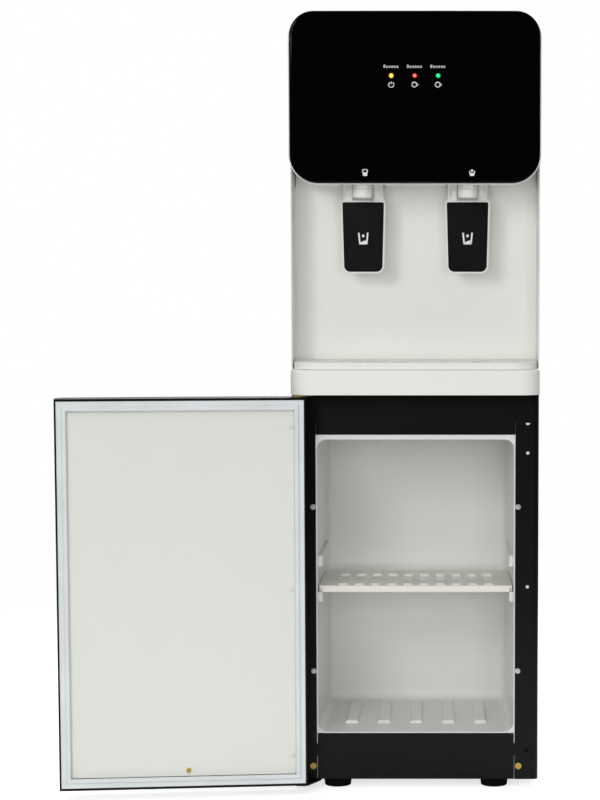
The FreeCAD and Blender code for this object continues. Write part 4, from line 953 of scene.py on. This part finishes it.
# ---- front panel ----
@dataclass
class FrontPanel:
    """Lamp lenses and printed signs on the gloss panel."""

    dresser: Dresser
    panel: bpy.types.Object
    tap_x: float
    lens_radius: float = 2.3
    lens_lip: float = 0.5         # dome's reach past the hole
    dome: float = 0.5             # rise of the dome
    lip_depth: float = 0.02       # thickness of its edge
    sign_drop: float = 10.8       # lamp signs under the lamps
    label_rise: float = 10.8      # blocks over the lamps
    label_width: float = 19.0
    label_blocks: tuple[Point2, ...] = ((-1.5, 2.3),) + ((-1.5, 1.2),) * 5
    label_fill: float = 0.72      # share of the row that the blocks fill
    tap_sign_rise: float = 12.6   # tap signs above the panel's lower edge
    tumbler_shift: float = 4.3    # and right of their taps
    steaming_shift: float = 4.7

    def lens(self, colour: str) -> bpy.types.Object:
        """A domed lens in place of one lamp.

        Args:
            colour: The lamp's colour, as in its name.

        Returns:
            The lens.
        """
        node = "led_" + colour
        low, high = box_mm(node)
        middle = (low + high) / 2
        reach = self.lens_radius
        rim = reach + self.lens_lip
        dome = [(rim * math.sin(a), low.y + self.dome * (1 - math.cos(a)))
                for a in (0.0, 0.35, 0.7, 1.0, 1.3, math.pi / 2)]
        profile = dome + [(reach, low.y + self.dome + self.lip_depth), (reach, high.y),
                          (0.0, high.y)]
        mould = Mould("lens_" + colour)
        lathe(mould, profile, Vector((middle.x, 0, middle.z)), 40, "Y")
        piece = mould.cast("lamp_" + colour, self.dresser.slot("lamp_" + colour), 60.0)
        share = piece.data.attributes.new(LENS_MIDDLE, "FLOAT", "POINT")
        for point, value in zip(piece.data.vertices, share.data):
            out = math.hypot(point.co.x / MM - middle.x, point.co.z / MM - middle.z)
            value.value = 1.0 - out / rim
        return settle(piece, "cabinet", node)

    def label(self) -> list[list[Point2]]:
        """Lay out the row of small blocks over a lamp.

        Returns:
            The blocks' outlines about the row's middle.
        """
        pitch = self.label_width / len(self.label_blocks)
        blocks = []
        for number, (low, high) in enumerate(self.label_blocks):
            left = number * pitch - self.label_width / 2
            right = left + pitch * self.label_fill
            blocks.append([(left, low), (right, low), (right, high), (left, high)])
        return blocks

    def build(self) -> None:
        """Make the lenses and print the signs."""
        printer = Printer(self.panel)
        signs, bars = Mould("panel_signs"), Mould("panel_label_bars")
        for colour, sign in (("amber", Sign.POWER), ("red", Sign.MUG), ("green", Sign.MUG)):
            low, high = box_mm("led_" + colour)
            x, z = (low.x + high.x) / 2, (low.z + high.z) / 2
            printer.press(signs, SIGN_SHAPES[sign], x, z - self.sign_drop)
            printer.press(bars, self.label(), x, z + self.label_rise)
            self.lens(colour)
        edge = box_mm("head_panel")[0].z
        for x, sign in ((-self.tap_x + self.tumbler_shift, Sign.TUMBLER),
                        (self.tap_x + self.steaming_shift, Sign.STEAMING)):
            printer.press(signs, SIGN_SHAPES[sign], x, edge + self.tap_sign_rise)
        white = self.dresser.material(PRINT_WHITE)
        settle(signs.cast("white_abs", white), "cabinet")
        settle(bars.cast("white_abs", self.dresser.material(PRINT_GREY)), "cabinet")


# ---- taps ----
class Tap(Enum):
    """The two taps, by the name of their pieces."""

    HOT = "hot"
    AMBIENT = "ambient"


@dataclass
class TapDetail:
    """A tap's printed paddle and its valve spring."""

    dresser: Dresser
    tap: Tap
    nodes: dict[str, bpy.types.Object]
    wire: float = 0.55            # radius of the spring's wire
    turns: float = 5.0
    steps: int = 150              # rings along the wire
    sides: int = 10               # sides of each ring
    lift_mm: float = 5.1
    sign_drop: float = 45.0       # sign's middle under the paddle's top

    def sign(self) -> bpy.types.Object:
        """Print the filling sign on the paddle.

        Returns:
            The sign.
        """
        node = self.tap.value + "_paddle"
        low, high = box_mm(node)
        mould = Mould(self.tap.value + "_paddle_sign")
        x, z = (low.x + high.x) / 2, high.z - self.sign_drop
        Printer(self.nodes[node]).press(mould, SIGN_SHAPES[Sign.FILLING], x, z)
        piece = mould.cast("white_abs", self.dresser.material(PRINT_WHITE))
        return settle(piece, self.tap.value + "_lever")

    def spring(self) -> bpy.types.Object:
        """Wind the spring over the valve's stem; the piece keeps the length of the frame's spring.

        Returns:
            The spring.
        """
        node = self.tap.value + "_spring"
        low, high = box_mm(node)
        middle = (low + high) / 2
        radius = (high.x - low.x) / 2 - self.wire
        start, end = low.z + self.wire, high.z - self.wire
        mould = Mould(self.tap.value + "_valve_spring")
        rings = []
        for step in range(self.steps + 1):
            share = step / self.steps
            angle = 2 * math.pi * self.turns * share
            out = Vector((math.cos(angle), math.sin(angle), 0))
            centre = Vector((middle.x, middle.y, start + (end - start) * share)) + out * radius
            rings.append([
                centre + (out * math.cos(a) + Vector((0, 0, 1)) * math.sin(a)) * self.wire
                for a in (2 * math.pi * k / self.sides for k in range(self.sides))])
        mould.loft(rings)
        piece = mould.cast("bright_zinc", self.dresser.slot("bright_zinc"), 60.0)
        settle(piece, "cabinet", node)
        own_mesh(piece)
        return piece

    def build(self) -> None:
        """Make both pieces."""
        self.sign()
        self.spring()


# ---- alcove ----
@dataclass
class CornerBeads:
    """Hollow-faced sealing beads in the alcove's upright corners."""

    dresser: Dresser
    reach: float = 1.7            # how far each bead laps the panel and the side
    side_x: float = 153.5         # inner face of the upper sides
    tuck: float = 0.3             # into the gaps behind, below and above
    steps: int = 6

    def outline(self, hand: int, face: float) -> list[Vector]:
        """Section of one bead, seen from above.

        Args:
            hand: 1 for the right bead and -1 for the left one.
            face: Y of the alcove's panel.

        Returns:
            The section's points at height 0.
        """
        middle = (self.side_x - self.reach, face - self.reach)
        hollow = arc(middle, self.reach, 0, 90, self.steps)
        behind = face + self.tuck
        points = [*hollow, (self.side_x - self.reach, behind), (self.side_x, behind)]
        return [Vector((hand * x, y, 0)) for x, y in points]

    def build(self) -> bpy.types.Object:
        """Make both beads as one piece, from the ledge up to the head.

        Returns:
            The beads.
        """
        face = box_mm("mid_panel")[0].y
        low = box_mm("lower_moulding")[1].z - self.tuck
        high = box_mm("head_housing")[0].z + self.tuck
        mould = Mould("alcove_beads")
        for hand in (-1, 1):
            outline = [point + Vector((0, 0, low)) for point in self.outline(hand, face)]
            mould.prism(outline, Vector((0, 0, high - low)))
        piece = mould.cast("white_abs", self.dresser.slot("white_abs"), 50.0)
        return settle(piece, "cabinet")


# ---- frame pieces ----
class Carcass:
    """Dresses every piece of the frame in the finish of its slot."""

    def __init__(self, frame: dict, dresser: Dresser) -> None:
        """Keep the frame and the materials.

        Args:
            dresser: Where the materials come from.
        """
        self.nodes: dict[str, bpy.types.Object] = frame["nodes"]
        self.slots = {row["node"]: row["material_slot"] for row in frame["record"]["subparts"]}
        self.dresser = dresser

    def build(self) -> None:
        """Put the right material on every piece."""
        for name, node in self.nodes.items():
            node.data.materials.clear()
            node.data.materials.append(self.dresser.slot(self.slots[name]))
            LOG.info("%s is dressed in %s", name, self.slots[name])


# ---- studio ----
@dataclass
class Lamp:
    """One soft box, aimed at a point."""

    name: str
    place: tuple[float, float, float]
    aim: tuple[float, float, float]
    size: tuple[float, float]
    power: float
    colour: Colour = (1.0, 1.0, 1.0)
    mirrored: bool = True         # shows in gloss

    def build(self) -> bpy.types.Object:
        """Hang the lamp.

        Returns:
            The lamp.
        """
        data = bpy.data.lights.new(self.name, "AREA")
        data.shape, data.size, data.size_y = "RECTANGLE", *self.size
        data.energy, data.color = self.power, self.colour
        lamp = linked(self.name, data)
        lamp.visible_glossy = self.mirrored
        lamp.location = self.place
        lamp.rotation_euler = (Vector(self.aim) - Vector(self.place)).to_track_quat(
            "-Z", "Y").to_euler()
        return lamp


@dataclass
class Studio:
    """Pale floor, white surroundings, soft lamps and the camera."""

    floor_size: float = 16.0
    near: float = 0.75            # the floor keeps its shadow inside this distance
    far: float = 1.6              # and is plain white beyond this one
    shown_tones: tuple[float, float] = (0.80, 0.82)   # what the camera sees of the floor
    shown_lift: float = 0.68      # light of its own added to that
    sheet_tones: tuple[float, float] = (0.84, 0.03)   # what it bounces, near and far
    ambient: float = 0.50
    room_tone: float = 0.03       # what gloss mirrors in front
    rear_tone: float = 0.9        # and behind
    turn: tuple[float, float] = (-0.35, 0.6)          # directions along Y where the first ends
    camera_place: tuple[float, float, float] = (0.0308, -3.050, 0.6755)
    camera_tilt_deg: float = 84.431
    frame_height_px: float = 800.0
    focal_px: float = 2318.4
    axis_right_px: float = 140.0  # optical axis right of the picture's middle
    axis_down_px: float = 81.0    # and below it
    sensor_mm: float = 36.0

    def floor(self) -> bpy.types.Object:
        """Lay a pale floor that keeps the shadow near the dispenser.

        Returns:
            The floor.
        """
        graph = Graph(bpy.data.materials.new("studio_floor"))
        dim, pale = ((tone,) * 3 for tone in self.shown_tones)
        near_sheet, far_sheet = ((tone,) * 3 for tone in self.sheet_tones)
        place = graph.node("TexCoord").outputs["Object"]
        distance = graph.node("VectorMath", {"operation": "LENGTH"}, _0=place).outputs["Value"]
        away = graph.node("MapRange", {"interpolation_type": "SMOOTHSTEP"}, Value=distance,
                          From_Min=self.near, From_Max=self.far).outputs[0]
        matt = graph.node("BsdfDiffuse", Color=graph.blend(graph.noise(3.0), dim, pale)).outputs[0]
        lift = graph.node("Emission", Color=(1.0, 1.0, 1.0), Strength=self.shown_lift).outputs[0]
        near = graph.node("AddShader", _0=matt, _1=lift).outputs[0]
        white = graph.node("Emission", Color=(1.0, 1.0, 1.0), Strength=1.0).outputs[0]
        shown = graph.node("MixShader", _0=away, _1=near, _2=white).outputs[0]
        sheet = graph.blend(away, near_sheet, far_sheet)
        bounced = graph.node("BsdfDiffuse", Color=sheet).outputs[0]
        camera_ray = graph.node("LightPath").outputs["Is Camera Ray"]
        material = graph.finish(graph.node("MixShader", _0=camera_ray, _1=bounced,
                                           _2=shown).outputs[0])
        mesh = bpy.data.meshes.new("studio_floor")
        half = self.floor_size / 2
        mesh.from_pydata([(-half, -half, 0), (half, -half, 0), (half, half, 0), (-half, half, 0)],
                         [], [(0, 1, 2, 3)])
        floor = linked("studio_floor", mesh)
        floor.location.z = -0.0002
        floor.data.materials.append(material)
        return floor

    def world(self) -> None:
        """White to look at, an even light from all sides, and a dark room to mirror in front."""
        world = bpy.data.worlds.new("studio")
        bpy.context.scene.world = world
        graph = Graph(world)
        white, cool = (1.0, 1.0, 1.0), (0.985, 0.992, 1.0)
        path = graph.node("LightPath").outputs
        way = graph.node("TexCoord").outputs["Generated"]
        behind = graph.remap(graph.node("SeparateXYZ", _0=way).outputs["Y"], self.room_tone,
                             self.rear_tone, *self.turn)
        mirrored = graph.node("Background", Color=white, Strength=behind).outputs[0]
        ambient = graph.node("Background", Color=cool, Strength=self.ambient).outputs[0]
        shown = graph.node("Background", Color=white, Strength=1.0).outputs[0]
        bounced = graph.node("MixShader", _0=path["Is Glossy Ray"], _1=ambient,
                             _2=mirrored).outputs[0]
        graph.finish(graph.node("MixShader", _0=path["Is Camera Ray"], _1=bounced,
                                _2=shown).outputs[0])

    def camera(self) -> bpy.types.Object:
        """Set up the camera, as far off and as high as the picture needs.

        Returns:
            The camera.
        """
        data = bpy.data.cameras.new("camera")
        data.sensor_width = self.sensor_mm
        data.lens = self.focal_px * self.sensor_mm / self.frame_height_px
        data.shift_x = -self.axis_right_px / self.frame_height_px
        data.shift_y = self.axis_down_px / self.frame_height_px
        data.clip_start, data.clip_end = 0.05, 50.0
        camera = linked("camera", data)
        camera.location = self.camera_place
        camera.rotation_euler = (math.radians(self.camera_tilt_deg), 0.0, 0.0)
        bpy.context.scene.camera = camera
        return camera

    def lamps(self) -> None:
        """A broad low front light, a weaker key from the left, and light from above and behind."""
        for lamp in (
                Lamp("key", (-1.15, -2.8, 1.5), (0.0, 0.0, 0.5), (0.6, 0.7), 19.0,
                     (1.0, 0.995, 0.985)),
                Lamp("front", (-0.05, -3.4, 0.70), (0.0, 0.0, 0.5), (2.0, 1.1), 36.0,
                     (1.0, 0.998, 0.99), False),
                Lamp("top", (0.0, 0.3, 2.7), (0.0, 0.0, 0.5), (1.6, 1.2), 12.0),
                Lamp("rear", (0.6, 2.6, 1.7), (0.0, 0.0, 0.5), (2.0, 1.6), 26.0)):
            lamp.build()

    def build(self) -> None:
        """Set everything up."""
        self.camera()
        self.floor()
        self.world()
        self.lamps()
        bpy.context.scene.view_settings.view_transform = "Standard"


def main() -> None:
    """Load the frame, dress it and build every piece."""
    logging.basicConfig(level=logging.INFO, format="%(name)s: %(message)s")
    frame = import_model()
    dresser = Dresser()
    nodes = frame["nodes"]
    joints = {joint["name"]: joint for joint in frame["joints"]}
    Studio().build()
    Carcass(frame, dresser).build()
    swing = Swing(Vector(joints["door_swing"]["pos_m"]) / MM)
    DoorSeal(dresser, swing).build()
    DoorScrews(dresser, swing, nodes["door_screws"]).build()
    Feet(dresser).build()
    CornerBeads(dresser).build()
    tap_x = joints["ambient_lever_press"]["pos_m"][0] / MM
    FrontPanel(dresser, nodes["head_panel"], tap_x).build()
    for tap in Tap:
        TapDetail(dresser, tap, nodes).build()


if __name__ == "__main__":
    main()
